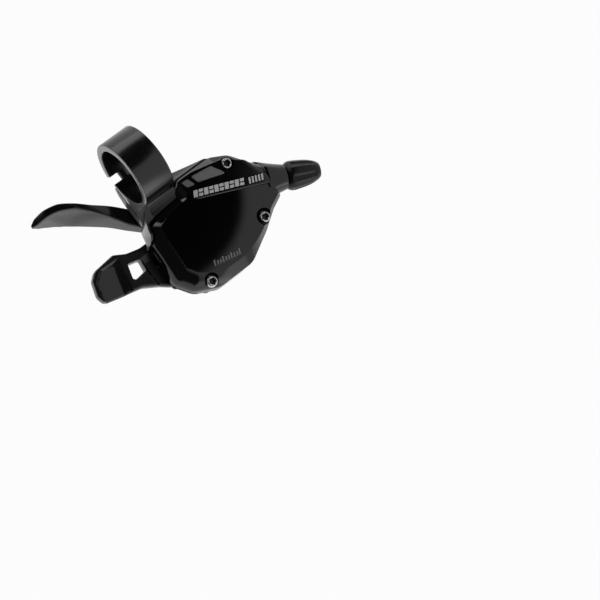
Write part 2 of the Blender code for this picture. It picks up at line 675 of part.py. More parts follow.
def release_lever_plate(parent):
    low, high = RELEASE_Z
    plate = make("release_lever_plate", disc(PIVOT, RELEASE_HUB_R, low, high, 32), "steel", parent)
    middle_x = (RISER_X[0] + RISER_X[1]) / 2
    arm = strip((middle_x, PIVOT[1] + 4), (middle_x, RISER_Y[1]), (RISER_X[1] - RISER_X[0]) / 2)
    join(plate, prism(arm, low, high), "arm")
    riser = [(RISER_X[0], RISER_Y[0]), (RISER_X[1], RISER_Y[0]), (RISER_X[1], RISER_Y[1]),
             (RISER_X[0], RISER_Y[1])]
    join(plate, prism(riser, RELEASE_LOW_Z[0], high), "riser")
    join(plate, prism(strip(TONGUE_START, TONGUE_END, TONGUE_HALF), *RELEASE_LOW_Z), "tongue")
    ear = strip(polar(4, LINK_ANGLE), polar(LINK_R + 1.8, LINK_ANGLE), 2.2)
    join(plate, prism(ear, low, high), "ear")
    cut(plate, disc(PIVOT, HUB_HOLE_R, low - 1, high + 1), "bore")
    cut(plate, disc(polar(LINK_R, LINK_ANGLE), PIN_R + FIT, low - 1, high + 1, 16), "pin_hole")


def grip_section(centre, along, width, thickness, points=12):
    """An oval across the grip, flatter along its lower side."""
    side = Vector((-along.y, along.x, 0)).normalized()
    up = Vector((0, 0, 1))
    loop = []
    for k in range(points):
        angle = 2 * math.pi * k / points
        rise = math.sin(angle) * (1.0 if math.sin(angle) > 0 else 0.8)
        loop.append(Vector(centre) + side * (math.cos(angle) * width / 2) + up * (rise * thickness / 2))
    return loop


def release_lever_grip(parent):
    loops = []
    for i, (centre, width, thickness) in enumerate(GRIP_SECTIONS):
        before = Vector(GRIP_SECTIONS[max(i - 1, 0)][0])
        after = Vector(GRIP_SECTIONS[min(i + 1, len(GRIP_SECTIONS) - 1)][0])
        loops.append(grip_section(centre, after - before, width, thickness))
    grip = make("release_lever_grip", lofted(loops), "black_plastic", parent)
    along = (Vector(TONGUE_END) - Vector(TONGUE_START)).normalized()
    slot = strip(TONGUE_START, Vector(TONGUE_END) + along * FIT, TONGUE_HALF + FIT)
    cut(grip, prism(slot, RELEASE_LOW_Z[0] - FIT, RELEASE_LOW_Z[1] + FIT), "plate_slot")


def release_link_pin(parent):
    """A pin through the slot in the body's floor, beside the hold pawl."""
    make("release_link_pin", disc(polar(LINK_R, LINK_ANGLE), PIN_R, -14.4, -7.2, 16), "steel", parent)


# ---- cable adjuster ---------------------------------------------------------------------------

def knob_loop(radius, along, flute=0.0, points=36):
    """A loop around the adjuster's axis, with shallow flutes when flute is above 0."""
    loop = []
    for k in range(points):
        angle = 2 * math.pi * k / points
        groove = max(0.0, math.cos(KNOB_FLUTES * angle)) ** 0.5 * flute
        loop.append(((radius - groove) * math.cos(angle), (radius - groove) * math.sin(angle), along))
    return loop


def barrel_adjuster(parent):
    bore_r = FERRULE_R + FIT
    hole_r = 1.2
    seat = KNOB_LENGTH - FERRULE_DEPTH
    loops = [
        knob_loop(hole_r, -STEM_LENGTH), knob_loop(STEM_R, -STEM_LENGTH), knob_loop(STEM_R, 0),
        knob_loop(KNOB_R - 0.5, 0), knob_loop(KNOB_R, 0.6), knob_loop(KNOB_R, 1.6),
        knob_loop(KNOB_R - 0.1, 2.4, 0.7), knob_loop(KNOB_END_R + 0.2, KNOB_LENGTH - 3.4, 0.6),
        knob_loop(KNOB_END_R, KNOB_LENGTH - 2.2), knob_loop(KNOB_END_R - 0.5, KNOB_LENGTH - 0.8),
        knob_loop(KNOB_END_R - 1.2, KNOB_LENGTH), knob_loop(bore_r, KNOB_LENGTH),
        knob_loop(bore_r, seat), knob_loop(hole_r, seat),
    ]
    body = along_axis(lofted(loops, ring=True), ADJUSTER_START, ADJUSTER_DIRECTION)
    make("barrel_adjuster", body, "black_plastic", parent)


def housing_ferrule(parent):
    """The cup that the cable's outer housing stands in."""
    low = KNOB_LENGTH - FERRULE_DEPTH + FIT
    high = KNOB_LENGTH - 0.2
    inner = 2.1
    profile = [(0.9, low), (FERRULE_R, low), (FERRULE_R, high), (inner, high), (inner, low + 1.0),
               (0.9, low + 1.0)]
    body = along_axis(turned(profile, 24, True), ADJUSTER_START, ADJUSTER_DIRECTION)
    make("housing_ferrule", body, "brass", parent)


def adjuster_detent_spring():
    turns = 2.5
    steps = 35
    wire_r = 0.3
    route = []
    for k in range(steps + 1):
        angle = 2 * math.pi * turns * k / steps
        route.append((3.55 * math.cos(angle), 3.55 * math.sin(angle), -3.0 + 2.0 * k / steps))
    body = along_axis(wire(route, wire_r, 5), ADJUSTER_START, ADJUSTER_DIRECTION)
    make("adjuster_detent_spring", body, "steel")


# ---- assembly ---------------------------------------------------------------------------------

def build():
    clear_scene()
    pull = axis_empty("pull_lever_axis", (*PIVOT, 0))
    release = axis_empty("release_lever_axis", (*PIVOT, 0))
    spool = axis_empty("spool_axis", (*PIVOT, 0))
    pull_pawl_axis = axis_empty("pull_pawl_axis", (*polar(PAWL_PIN_R, PULL_PAWL_ANGLE), 0), pull)
    hold_pawl_axis = axis_empty("hold_pawl_axis", (*polar(HOLD_PIN_R, HOLD_ANGLE), 0))
    travel = axis_empty("adjuster_travel_axis", ADJUSTER_START)
    turn = axis_empty("adjuster_turn_axis", ADJUSTER_START, travel)

    clamp_band()
    clamp_lug()
    clamp_bolt()
    clamp_fixing_screws()

    housing_base()
    top_cover()
    name_plate()
    cover_screws()
    cable_port_plug()

    main_shaft()
    shaft_circlip()
    cable_spool(spool)
    ratchet_wheel(spool)
    bush("spool_bush", (WHEEL_Z[0], SPOOL_Z[1]), spool)
    spool_spring()

    pull_lever_plate(pull)
    pull_lever_paddle(pull)
    bush("pull_lever_bush", PULL_Z, pull)
    pawl("pull_pawl", PULL_PAWL_ANGLE, PAWL_PIN_R, PAWL_SPAN, pull_pawl_axis, pull,
         (PULL_Z[0], WHEEL_Z[1]))
    return_spring = spiral_strip(PIVOT, 4.6, 8.2, 2.5, 0, 0.4, -10.1, -8.9)
    make("pull_lever_spring", return_spring, "steel")

    release_lever_plate(release)
    release_lever_grip(release)
    bush("release_lever_bush", RELEASE_Z, release)
    release_link_pin(release)
    return_spring = spiral_strip(PIVOT, 4.8, 7.4, 2, 0, 0.4, -15.9, -14.7)
    make("release_lever_spring", return_spring, "steel")
    pawl("hold_pawl", HOLD_ANGLE, HOLD_PIN_R, -PAWL_SPAN, hold_pawl_axis, None,
         (FLOOR_TOP_Z + FIT, WHEEL_Z[1]))

    barrel_adjuster(turn)
    housing_ferrule(travel)
    adjuster_detent_spring()


build()
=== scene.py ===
"""Looks of the thumb shifter: detailed pieces, procedural materials, light and camera.

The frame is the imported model's: the origin is the centre of the handlebar bore, +X runs along the
handlebar towards the cable adjuster, +Y from the mechanism towards the handlebar, and +Z out of
the top cover. Lengths are in millimetres unless a name says otherwise; finish_piece() makes them
metres.
"""

import json
import math

import bpy
import numpy as np
from mathutils import Matrix, Vector

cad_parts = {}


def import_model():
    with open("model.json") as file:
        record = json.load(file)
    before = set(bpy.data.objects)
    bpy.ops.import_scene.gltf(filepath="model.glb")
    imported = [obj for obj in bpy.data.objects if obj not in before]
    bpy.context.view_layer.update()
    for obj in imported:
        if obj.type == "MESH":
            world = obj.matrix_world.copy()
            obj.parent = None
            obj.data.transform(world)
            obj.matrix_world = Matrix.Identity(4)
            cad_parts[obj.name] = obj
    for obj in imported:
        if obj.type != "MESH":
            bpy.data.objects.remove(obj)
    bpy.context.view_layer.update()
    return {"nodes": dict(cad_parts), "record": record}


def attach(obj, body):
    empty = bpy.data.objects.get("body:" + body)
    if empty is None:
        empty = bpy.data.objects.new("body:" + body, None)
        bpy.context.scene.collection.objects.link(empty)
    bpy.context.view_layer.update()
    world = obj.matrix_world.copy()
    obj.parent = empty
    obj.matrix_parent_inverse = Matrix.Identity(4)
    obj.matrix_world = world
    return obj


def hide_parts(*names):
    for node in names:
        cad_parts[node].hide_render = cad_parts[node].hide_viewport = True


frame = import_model()
MM = 0.001
SHARP = 30                     # faces that meet at more degrees than this keep a crisp edge
STEP = 0.3                     # spacing of the points along an outline
COVER_STEP = 0.35
FINE_STEP = 0.25

# Camera: its right, up and backward directions, the point it aims at and its distance, in metres
VIEW_RIGHT = Vector((0.74870, -0.60950, 0.26072))
VIEW_UP = Vector((0.57560, 0.79279, 0.20045))
VIEW_BACK = Vector((-0.32887, 0.0, 0.94439))
VIEW_AIM = Vector((0.016785, -0.072862, 0.005845))
VIEW_DISTANCE = 1.0
LENS = 168.72

# Studio: the floor, in metres, and a pale tent with round patches laid over it in order. Each patch
# has a direction from the object, a half-angle and the softness of its edge in degrees, and a level
FLOOR_Z_M = -0.12
FLOOR_HALF_M = 4.0
FLOOR_GLOW = 0.93
TENT_LEVEL = 0.72
PATCHES = [
    ((0.25, 0.93, 0.10), 30.0, 12.0, 2.1),      # bright wall on the bar's side
    ((-0.10, -0.98, 0.05), 26.0, 12.0, 2.3),    # bright wall on the thumb's side
    ((-0.45, -0.86, 0.12), 22.0, 12.0, 1.3),    # its dimmer end
    ((0.33, 0.607, 0.723), 23.0, 4.0, 0.0),     # dark opening towards the bar
    ((0.164, 0.278, 0.946), 20.9, 1.2, 0.0),    # dark opening overhead
    ((-0.80, 0.0, 0.60), 47.0, 8.0, 0.05),      # dark flag outboard
]

# Materials: size of the broad noise, how far it moves the colour, the grain's depth in metres, and
# the range of the cosine over which a face counts as looking along an axis and gets painted light
BROAD_SCALE = 160
MOTTLE = 0.15
GRAIN_DEPTH_M = 0.00003
COAT_ROUGHNESS = 0.06
PAINTED_LIGHT_RANGE = (0.72, 0.94)

# Body outline corners (x, y, rounding), anticlockwise, and heights
OUTLINE = [
    (-9.8, -18.5, 3.4), (-13.4, -26.2, 6.0), (-14.7, -41.5, 5.0), (-10.2, -48.1, 6.0),
    (-1.8, -52.0, 6.0), (13.0, -52.0, 9.0), (24.5, -46.0, 8.0), (31.9, -41.1, 7.0),
    (37.3, -38.6, 1.5), (38.6, -27.0, 1.5), (34.3, -21.6, 6.0), (30.0, -15.6, 5.0),
    (24.0, -12.4, 6.0), (8.8, -12.4, 1.5), (7.4, -17.2, 0.8),
]
PIVOT = (5.0, -35.5)
COVER_CENTRE = (12.0, -33.0)
COVER_TOP_Z = 3.2
CROWN = 1.2                    # rise of the cover's top at its centre
CROWN_R = 22.0
SPLIT_TOP_Z = -4.0
COVER_WALL = 1.6
COVER_RIM = (0.3, 0.25)        # bevel of the wall's lower rim, across and up
COVER_LOWEST = 0.3             # the edge stays this far above the split
# The cover's edge round its outline: angle from +X about the centre, width, drop, roundness (0 is a
# flat bevel, 1 a quarter round)
COVER_EDGE = [
    (-170, 6.5, 6.6, 1.0), (-150, 6.0, 6.4, 1.0), (-140, 5.2, 5.2, 1.0), (-128, 4.2, 3.4, 0.6),
    (-115, 3.8, 2.3, 0.0), (-90, 3.6, 2.2, 0.0), (-72, 2.6, 2.8, 0.0), (-58, 2.0, 3.2, 0.0),
    (-35, 1.7, 3.0, 0.0), (-18, 1.4, 2.4, 0.0), (12, 1.0, 1.2, 0.0), (40, 1.6, 1.6, 0.3),
    (55, 3.4, 2.6, 0.0), (98, 4.0, 3.0, 0.0), (103, 1.8, 1.4, 0.0), (112, 2.5, 2.1, 0.0),
    (140, 2.8, 2.4, 0.0), (158, 5.0, 5.0, 0.8), (175, 6.5, 6.6, 1.0),
]
SCREWS = [(27.3, -18.1), (26.5, -41.6), (-4.0, -48.7)]
SCREW_R = 1.95
SCREW_TOP_Z = 3.3
SCREW_END_Z = -7.4
SCREW_SHANK_R = 1.25
HEAD_HEIGHT = 1.9
HEAD_SOFT = 0.35
SOCKET_R = 1.25
SOCKET_DEPTH = 1.5
SCREW_POINTS = 48
# A screw's seat in the cover, and in the name plate: how much wider than the head, at which height
SEAT_PROFILE = [(0.55, 1.3), (0.55, 2.4), (1.0, 3.1), (2.4, 6.0)]
PLATE_SEAT_PROFILE = [(0.7, 1.0), (0.7, 3.9), (1.6, 6.0)]
# Where the loops of the cover's edge lie, as shares of its width; the last runs a little past it
EDGE_SHARES = [0, 0.04, 0.1, 0.18, 0.27, 0.36, 0.46, 0.56, 0.66, 0.76, 0.85, 0.92, 0.97, 1.0, 1.06]

# Name plate, its windows and the printed marks
PLATE_CORNERS = [
    (6.3, -20.9, 1.8), (36.0, -33.0, 0.8), (36.8, -30.0, 1.5), (33.4, -20.8, 4.0),
    (26.5, -15.6, 4.0), (14.4, -12.9, 3.0), (8.6, -12.7, 2.0), (4.9, -15.8, 1.4),
    (4.2, -18.8, 1.4),
]
PLATE_CENTRE = (20.0, -21.5)
PLATE_LOW_Z = 2.2
PLATE_TOP_Z = 4.75
PLATE_CROWN = 0.6              # fall of the plate's top at CROWN_R from the cover's centre
PLATE_BEND_X = 15.0            # outboard of here the plate bends down by PLATE_BEND x distance^2
PLATE_BEND = 0.016
PLATE_EDGE = 0.55
LENS_SHARE = 0.95              # size of a lens in its window
LENS_LOW_Z = 2.6
LENS_SINK = 0.22
LENS_EDGE = 0.3
WINDOWS = {
    "large": [(13.7, -17.6, 0.5), (25.1, -21.1, 0.5), (21.7, -15.2, 0.8), (12.7, -14.1, 0.5)],
    "small": [(9.6, -17.0, 0.4), (12.9, -17.7, 0.4), (11.8, -14.2, 0.4), (8.7, -13.8, 0.4)],
}
WINDOW_HOLE = [(1.0, 2.9), (1.0, 4.25), (1.10, 6.0)]   # share of the window's size, height
MARK_RISE = 0.04
# Rows of marks: start, end, count and the share of the pitch that a mark fills
BAND = ((9.2, -21.1), (27.6, -28.2), 10, 0.80)
SHORT_BAND = ((28.9, -28.9), (34.8, -30.9), 5, 0.55)
TICKS = ((0.0, -45.0), (11.0, -47.2), 10, 0.50)
BAR_HEIGHT = 2.5
BAR_LEAN = 0.5
HALF_BAR_HEIGHT = 1.05         # every second bar is split in two
HALF_BAR_LEAN = 0.2
UPPER_HALF = (0.3, 1.45)       # the upper half's shift along and across the row
SHORT_BAR_HEIGHT = 2.3
TICK_HEIGHTS = (2.1, 1.5, 1.5)
TICK_LEAN = 0.4

# Clamp; its outlines are seen along the bar, as (y, z) or (y, z, rounding)
BORE_R = 11.1
RING_R = 14.0
CLAMP_HALF = 6.35
CLAMP_SOFT = 0.45
LIP_ANGLE = -72                # free lip of the ring, degrees from +Y towards +Z
ARM_ANGLE = 146                # where the arm leaves the ring
ARM_CURVE = [(-11.61, 7.83), (-12.45, 5.8), (-12.95, 4.2), (-13.5, 3.1), (-14.3, 2.62),
             (-15.4, 2.45), (-16.9, 2.35)]
ARM_LOW = [(-17.15, 1.9), (-17.2, -3.0), (-17.4, -8.0), (-19.2, -10.4)]
SADDLE_SKEW = 1.1              # how much further the saddle reaches at its outboard side
SADDLE_Y = (-14.0, -17.0)      # where that skew fades in
SADDLE_Z = (-12.0, -9.0)
FOOT_Y = -19.2
WEB_Z = -12.8
JAW_Y = 0.5                    # where the lower jaw ends at the split
ARM_STEPS = 60
BOLT_Z = -14.2
BOLT_HEAD_Y = -19.0
BOLT_SIZES = {"head_r": 3.2, "top": 0, "height": 3.6, "socket_r": 1.7, "depth": 2.2,
              "shank_r": 2.0, "end": -27.4}
BOLT_CUTS = [(-21.0, 3.5, 5.9), (-16.0, 2.3, 30.0)]    # head and hole: start y, radius, length
LIP_CORNERS = [(3.4, -12.2, 1.0), (4.4, -16.6, 1.2), (8.6, -16.8, 1.6), (11.6, -8.4, 1.0),
               (9.8, -8.2, 0.5), (4.4, -11.6, 0.5)]
# Sections of a block that lies across the clamp: x and the share of its size there
LIP_SECTIONS = [(-3.5, 0.93), (-3.2, 1.0), (3.2, 1.0), (3.5, 0.93)]
LUG_SECTIONS = [(-6.35, 0.90), (-6.2, 0.965), (-5.8, 1.0), (5.8, 1.0), (6.2, 0.965), (6.35, 0.90)]
LUG_CORNERS = [(-0.2, -14.6, 0.5), (-2.8, -16.1, 2.0), (-7.3, -17.3, 2.0), (-12.7, -17.3, 2.0),
               (-18.2, -17.0, 0.8), (-16.9, -13.9, 1.5), (-14.8, -13.1, 1.5), (-1.2, -13.1, 0.4)]
# Lower and upper edges of the wing that runs from the web to the body's outboard wall
WING_LOW = [(-6.45, -13.3, -12.6), (-6.7, -15.8, -12.6), (-7.2, -17.3, -12.4),
            (-8.6, -18.3, -11.6), (-10.2, -19.5, -9.4), (-11.4, -21.2, -7.0), (-12.8, -23.8, -4.8),
            (-13.9, -26.0, -4.5)]
WING_HIGH = [(-6.45, -12.6, 3.6), (-7.6, -14.4, 2.7), (-9.2, -16.4, 2.3), (-10.1, -18.2, 2.1),
             (-10.9, -20.5, 2.0), (-11.6, -22.9, 1.9), (-12.7, -24.6, 0.8), (-13.95, -26.1, -4.0)]
WING_BULGE = 0.3
WING_THICK = 0.9
WING_ROOT_X = -6.1             # the wing is solid up to here, where it grows from the web
WING_ROOT_Y = (-18.9, -18.0)
WING_STEPS = 50

# Lip of the lower shell, under the opening that the pull lever swings in
SILL_CORNERS = [(-8.0, -24.0, 0.5), (-12.6, -25.5, 3.0), (-13.6, -39.0, 3.0), (-12.4, -43.0, 1.5),
                (-8.0, -43.0, 0.5)]
SILL_Z = (-11.8, -10.3)
SILL_SOFT = 0.3

# Pull lever's paddle
PADDLE_CORNERS = [
    (-13.0, -42.0, 0.8), (-11.2, -23.4, 0.8), (-15.3, -23.4, 3.0), (-20.3, -22.2, 4.0),
    (-24.8, -19.7, 1.5), (-33.8, -20.6, 3.0), (-36.4, -22.8, 2.0), (-38.4, -28.4, 3.0),
    (-37.6, -31.8, 2.0), (-31.3, -33.4, 4.0), (-22.9, -35.4, 4.0), (-17.4, -38.6, 3.0),
]
PADDLE_CENTRE = (-20.0, -28.5)
PADDLE_INNER_R = 19.4          # the paddle clears the body by this radius about the pivot
PADDLE_WINDOW = [
    (-18.3, -31.0, 1.0), (-17.7, -26.8, 0.8), (-22.3, -25.7, 0.5), (-24.2, -31.7, 1.0),
]
PADDLE_TOP_Z = -5.4
PADDLE_LOW_Z = -9.8
PADDLE_SOFT = 0.8
PADDLE_TOP_LOOPS = 70
# The cut of the paddle's window widens towards both faces: share of its size, height
WINDOW_CUT = [(1.12, -13.0), (1.0, -9.6), (1.0, -6.4), (1.12, -5.0)]
# The dish: lines it lies inside, each by a point, the direction to its inner side and how soft
DISH_SIDES = [((-36.6, -28.4), -10.0, 0.8), ((-34.9, -23.9), -52.0, 0.8),
              ((-29.0, -21.4), -93.0, 0.9), ((-24.8, -27.0), 168.0, 3.2)]
DISH_TOP = (-30.0, -22.0)
DISH_FALL = (-0.36, -0.93)
DISH_SLOPE = 0.22
DISH_STEP = 0.7
# The hollow beside the body: where it starts, how steeply and how far it falls
ROOT_X = (-18.6, -17.0)
ROOT_TOP_Y = -26.6
ROOT_SLOPE = 0.45
ROOT_REACH = 2.2

# Release lever's grip: spine point, reach to the back, ridge offset, ridge height, reach to the
# front, depth below the spine
GRIP_STATIONS = [
    ((0.6, -21.1, -19.5), 3.1, -2.2, 1.2, 3.2, 1.8), ((-3.5, -16.4, -19.4), 3.7, -2.5, 1.3, 3.8, 2.0),
    ((-8.2, -11.8, -18.8), 3.9, -1.9, 1.4, 4.0, 2.3), ((-13.5, -7.2, -17.1), 3.8, -0.6, 1.8, 3.8, 2.9),
    ((-19.1, -3.0, -16.2), 3.7, 0.9, 2.1, 3.8, 3.1), ((-24.0, 0.8, -15.8), 3.9, 1.6, 2.4, 4.1, 3.1),
    ((-28.6, 3.8, -15.8), 3.9, 0.9, 2.2, 4.1, 2.9), ((-33.2, 5.4, -16.0), 3.1, 0.0, 1.8, 3.2, 2.4),
    ((-37.0, 5.9, -16.4), 1.9, -0.8, 1.2, 1.9, 1.6), ((-39.0, 5.9, -16.7), 0.6, -0.2, 0.4, 0.6, 0.5),
]
GRIP_TOP_TILT = 0.13
GRIP_STEPS = 90
GRIP_SOFT = 0.7
GRIP_NOSE = 0.7                # height of the front edge
GRIP_UNDER = 0.8               # width of the underside as a share of the top's
GRIP_SHARP = 50

# Cable adjuster
ADJUSTER_START = Vector((43.9, -34.3, -2.2))
ADJUSTER_DIRECTION = Matrix.Rotation(math.radians(-23.8), 3, "Z") @ Vector((1, 0, 0))
NECK_R = 4.75
NECK_FLARE = 2.9
NECK_REACH = 10.0
NECK_START = -0.8              # where the flare begins, along the axis from the knob's shoulder
# The rounded mouth at the knob: radius beyond NECK_R, along the axis
NECK_MOUTH = [(-1.7, -0.45), (-0.5, -0.4), (-0.1, -0.5), (0.0, -0.8)]
NECK_STEPS = 14
NECK_POWER = 1.1
NECK_TOP_Z = 2.2               # the neck's top is pressed towards this height, at the knob
NECK_TOP_RISE = 0.12           # how much that height rises per mm from the knob
NECK_TOP_SHARE = 0.6           # how much of the excess is pressed away, in full from here on
NECK_TOP_REACH = 8.0
NECK_SINK_FROM = 7.6           # beyond this distance from the knob the top sinks into the cover
NECK_SINK = 0.35
STEM_R = 2.9
STEM_START = -9.0
CABLE_R = 1.2
KNOB_LENGTH = 12.9
# Along the axis, radius
KNOB_PROFILE = [(0.15, 4.55), (0.6, 4.95), (1.4, 5.32), (3.0, 5.38), (5.2, 5.15), (8.4, 4.65),
                (10.2, 4.15), (11.6, 3.6), (12.5, 3.05), (12.9, 2.75)]
KNOB_BORE_R = 2.5
KNOB_BORE_DEPTH = 8.0
KNOB_POINTS = 144
FLUTES = 6
FLUTE = 0.5
FLUTE_RUN = ((1.0, 2.4), (9.4, 11.6))    # where the flutes begin and where they fade out

BEVELLED_NODES = {"housing_base", "main_shaft", "cable_port_plug", "release_lever_plate",
                  "pull_lever_plate", "housing_ferrule", "cable_spool", "ratchet_wheel"}
NODE_BEVEL = 0.25
NODE_BEVEL_ANGLE = 35


# ---- outlines ---------------------------------------------------------------------------------

def arc(centre, radius, start, end, steps):
    """Points on a circle from start to end, in degrees, both ends included."""
    angles = np.radians(np.linspace(start, end, steps + 1))
    return [(centre[0] + radius * math.cos(a), centre[1] + radius * math.sin(a)) for a in angles]


def rounded(corners, steps=8):
    """A closed outline with an arc of its own radius at each corner (x, y, radius)."""
    outline = []
    for i, (x, y, radius) in enumerate(corners):
        here = Vector((x, y))
        to_before = (Vector(corners[i - 1][:2]) - here).normalized()
        to_after = (Vector(corners[(i + 1) % len(corners)][:2]) - here).normalized()
        half = to_before.angle(to_after) / 2
        centre = here + (to_before + to_after).normalized() * (radius / math.sin(half))
        first = here + to_before * (radius / math.tan(half)) - centre
        last = here + to_after * (radius / math.tan(half)) - centre
        start = math.degrees(math.atan2(first.y, first.x))
        turn = (math.degrees(math.atan2(last.y, last.x)) - start + 180) % 360 - 180
        outline += arc(centre, radius, start, start + turn, steps)
    return outline


def even(outline, spacing):
    """A closed outline with points at an even spacing."""
    points = np.array(outline + outline[:1], float)
    steps = np.linalg.norm(np.diff(points, axis=0), axis=1)
    along = np.concatenate([[0], np.cumsum(steps)])
    stops = np.linspace(0, along[-1], int(along[-1] / spacing) + 1)[:-1]
    return np.stack([np.interp(stops, along, points[:, k]) for k in (0, 1)], axis=1)


def edge_distance(points, outline):
    """Distance from each point to a closed outline."""
    step = np.roll(outline, -1, axis=0) - outline
    away = points[:, None, :] - outline[None]
    share = np.clip((away * step).sum(-1) / np.maximum((step * step).sum(-1), 1e-12), 0, 1)
    return np.sqrt(((away - share[..., None] * step) ** 2).sum(-1).min(axis=1))


def inner_ring(outline, centre, depth):
    """Points on the lines from the outline to the centre that lie at a depth from its edge."""
    low = np.zeros(len(outline))
    high = np.full(len(outline), 0.97)
    for _ in range(14):
        middle = (low + high) / 2
        spots = outline + (centre - outline) * middle[:, None]
        short = edge_distance(spots, outline) < depth
        low = np.where(short, middle, low)
        high = np.where(short, high, middle)
    return outline + (centre - outline) * low[:, None]


def around(table, angles):
    """Values from a table of (angle, values...) at angles in degrees, with the ends joined."""
    rows = np.array(sorted(table), float)
    turn = np.zeros(rows.shape[1])
    turn[0] = 360
    rows = np.vstack([rows[-1] - turn, rows, rows[0] + turn])
    return [np.interp(angles, rows[:, 0], rows[:, k]) for k in range(1, rows.shape[1])]


def rounded_section(corners, rounding, steps=3):
    """A loop around a section in space, with its corners rounded."""
    loop = []
    for i, corner in enumerate(corners):
        here = Vector(corner)
        before = Vector(corners[i - 1]) - here
        after = Vector(corners[(i + 1) % len(corners)]) - here
        reach = min(rounding, before.length / 2.2, after.length / 2.2)
        first = here + before.normalized() * reach
        last = here + after.normalized() * reach
        for k in range(steps + 1):
            t = k / steps
            loop.append(first * (1 - t) ** 2 + here * (2 * t * (1 - t)) + last * t ** 2)
    return loop


def smooth_path(points, count):
    """Evenly spaced points on a smooth curve through a run of points."""
    spots = np.array(points, float)
    knots = np.concatenate([[0], np.cumsum(np.linalg.norm(np.diff(spots, axis=0), axis=1))])
    slopes = np.gradient(spots, knots, axis=0)
    result = []
    for s in np.linspace(0, knots[-1], count):
        i = min(max(int(np.searchsorted(knots, s)) - 1, 0), len(spots) - 2)
        gap = knots[i + 1] - knots[i]
        t = (s - knots[i]) / gap
        from_spot = (2 * t ** 3 - 3 * t ** 2 + 1) * spots[i]
        from_slope = (t ** 3 - 2 * t ** 2 + t) * gap * slopes[i]
        to_spot = (3 * t ** 2 - 2 * t ** 3) * spots[i + 1]
        to_slope = (t ** 3 - t ** 2) * gap * slopes[i + 1]
        result.append(from_spot + from_slope + to_spot + to_slope)
    return np.array(result)


def smoothstep(low, high, value):
    """0 below low, 1 above high and a smooth rise between them."""
    t = np.clip((value - low) / (high - low), 0, 1)
    return t * t * (3 - 2 * t)


def soft_fall(depth, share):
    """How far a rounded edge falls at a share of its width in from the outside."""
    return depth * (1 - math.sqrt(1 - (1 - share) ** 2))


def shrunk(outline, share):
    """An outline scaled about the mean of its points."""
    middle = outline.mean(axis=0)
    return middle + (outline - middle) * share


# ---- meshes -----------------------------------------------------------------------------------

def raw_mesh(name, points, faces):
    """An object from points and faces, linked to the scene."""
    mesh = bpy.data.meshes.new(name)
    mesh.from_pydata([tuple(point) for point in points], [], faces)
    mesh.validate()
    obj = bpy.data.objects.new(name, mesh)
    bpy.context.scene.collection.objects.link(obj)
    return obj


def lofted(name, loops, ring=False, cap_start=True, cap_end=True):
    """An object through loops of equal point counts, closed as a ring or capped at its ends."""
    count = len(loops[0])
    points = [point for loop in loops for point in loop]
    faces = []
    rows = len(loops)
    for a in range(rows if ring else rows - 1):
        b = (a + 1) % rows
        for i in range(count):
            j = (i + 1) % count
            faces.append((a * count + i, a * count + j, b * count + j, b * count + i))
    if not ring and cap_start:
        faces.append(tuple(range(count))[::-1])
    if not ring and cap_end:
        faces.append(tuple((rows - 1) * count + i for i in range(count)))
    return raw_mesh(name, points, faces)


def at_height(outline, z):
    """The 3-D points of an outline at one height, or at a height for each point."""
    heights = np.broadcast_to(z, (len(outline),))
    return np.column_stack([np.asarray(outline, float), heights])


def circle(radius, count, centre):
    """Points evenly spaced round a circle."""
    return np.array(arc(centre, radius, 0, 360 * (count - 1) / count, count - 1))


def turned(name, profile, count, centre=(0, 0)):
    """An object turned about an upright axis from (radius, z) pairs."""
    return lofted(name, [at_height(circle(r, count, centre), z) for r, z in profile])


def lay_along(obj, origin, direction):
    """Turns an object made on the upright axis to lie along a direction from a point."""
    turn = Vector((0, 0, 1)).rotation_difference(Vector(direction)).to_matrix().to_4x4()
    obj.data.transform(Matrix.Translation(Vector(origin)) @ turn)
    return obj


def cut(obj, tools):
    """Cuts tools from an object and removes them."""
    for tool in tools:
        modifier = obj.modifiers.new("cut", "BOOLEAN")
        modifier.operation = "DIFFERENCE"
        modifier.solver = "EXACT"
        modifier.object = tool
    bpy.context.view_layer.update()
    graph = bpy.context.evaluated_depsgraph_get()
    mesh = bpy.data.meshes.new_from_object(obj.evaluated_get(graph))
    obj.modifiers.clear()
    obj.data = mesh
    for tool in tools:
        bpy.data.objects.remove(tool)
    return obj


def finish_piece(obj, body, material, replaces=(), sharp=SHARP):
    """Scales a piece to metres, shades it, gives it its material, hangs it on its body and hides the
    imported parts it replaces.
    """
    obj.data.transform(Matrix.Scale(MM, 4))
    obj.data.shade_smooth()
    obj.data.set_sharp_from_angle(angle=math.radians(sharp))
    obj.data.materials.clear()
    obj.data.materials.append(material)
    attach(obj, body)
    if replaces:
        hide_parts(*replaces)


# ---- materials --------------------------------------------------------------------------------

def noise(tree, place, scale, detail):
    """A noise texture in the object's own coordinates."""
    result = tree.nodes.new("ShaderNodeTexNoise")
    result.inputs["Scale"].default_value = scale
    result.inputs["Detail"].default_value = detail
    tree.links.new(place.outputs["Object"], result.inputs["Vector"])
    return result.outputs["Fac"]


def remapped(tree, value, source, target):
    """A value carried from a source range to a target range."""
    result = tree.nodes.new("ShaderNodeMapRange")
    result.inputs["From Min"].default_value, result.inputs["From Max"].default_value = source
    result.inputs["To Min"].default_value, result.inputs["To Max"].default_value = target
    tree.links.new(value, result.inputs["Value"])
    return result.outputs["Result"]


def colour_mix(tree, factor, first, second):
    """A mix of two colours, where the first can be a colour or another node's output."""
    result = tree.nodes.new("ShaderNodeMix")
    result.data_type = "RGBA"
    if isinstance(first, bpy.types.NodeSocket):
        tree.links.new(first, result.inputs["A"])
    else:
        result.inputs["A"].default_value = (*first, 1)
    result.inputs["B"].default_value = (*second, 1)
    tree.links.new(factor, result.inputs["Factor"])
    return result.outputs["Result"]


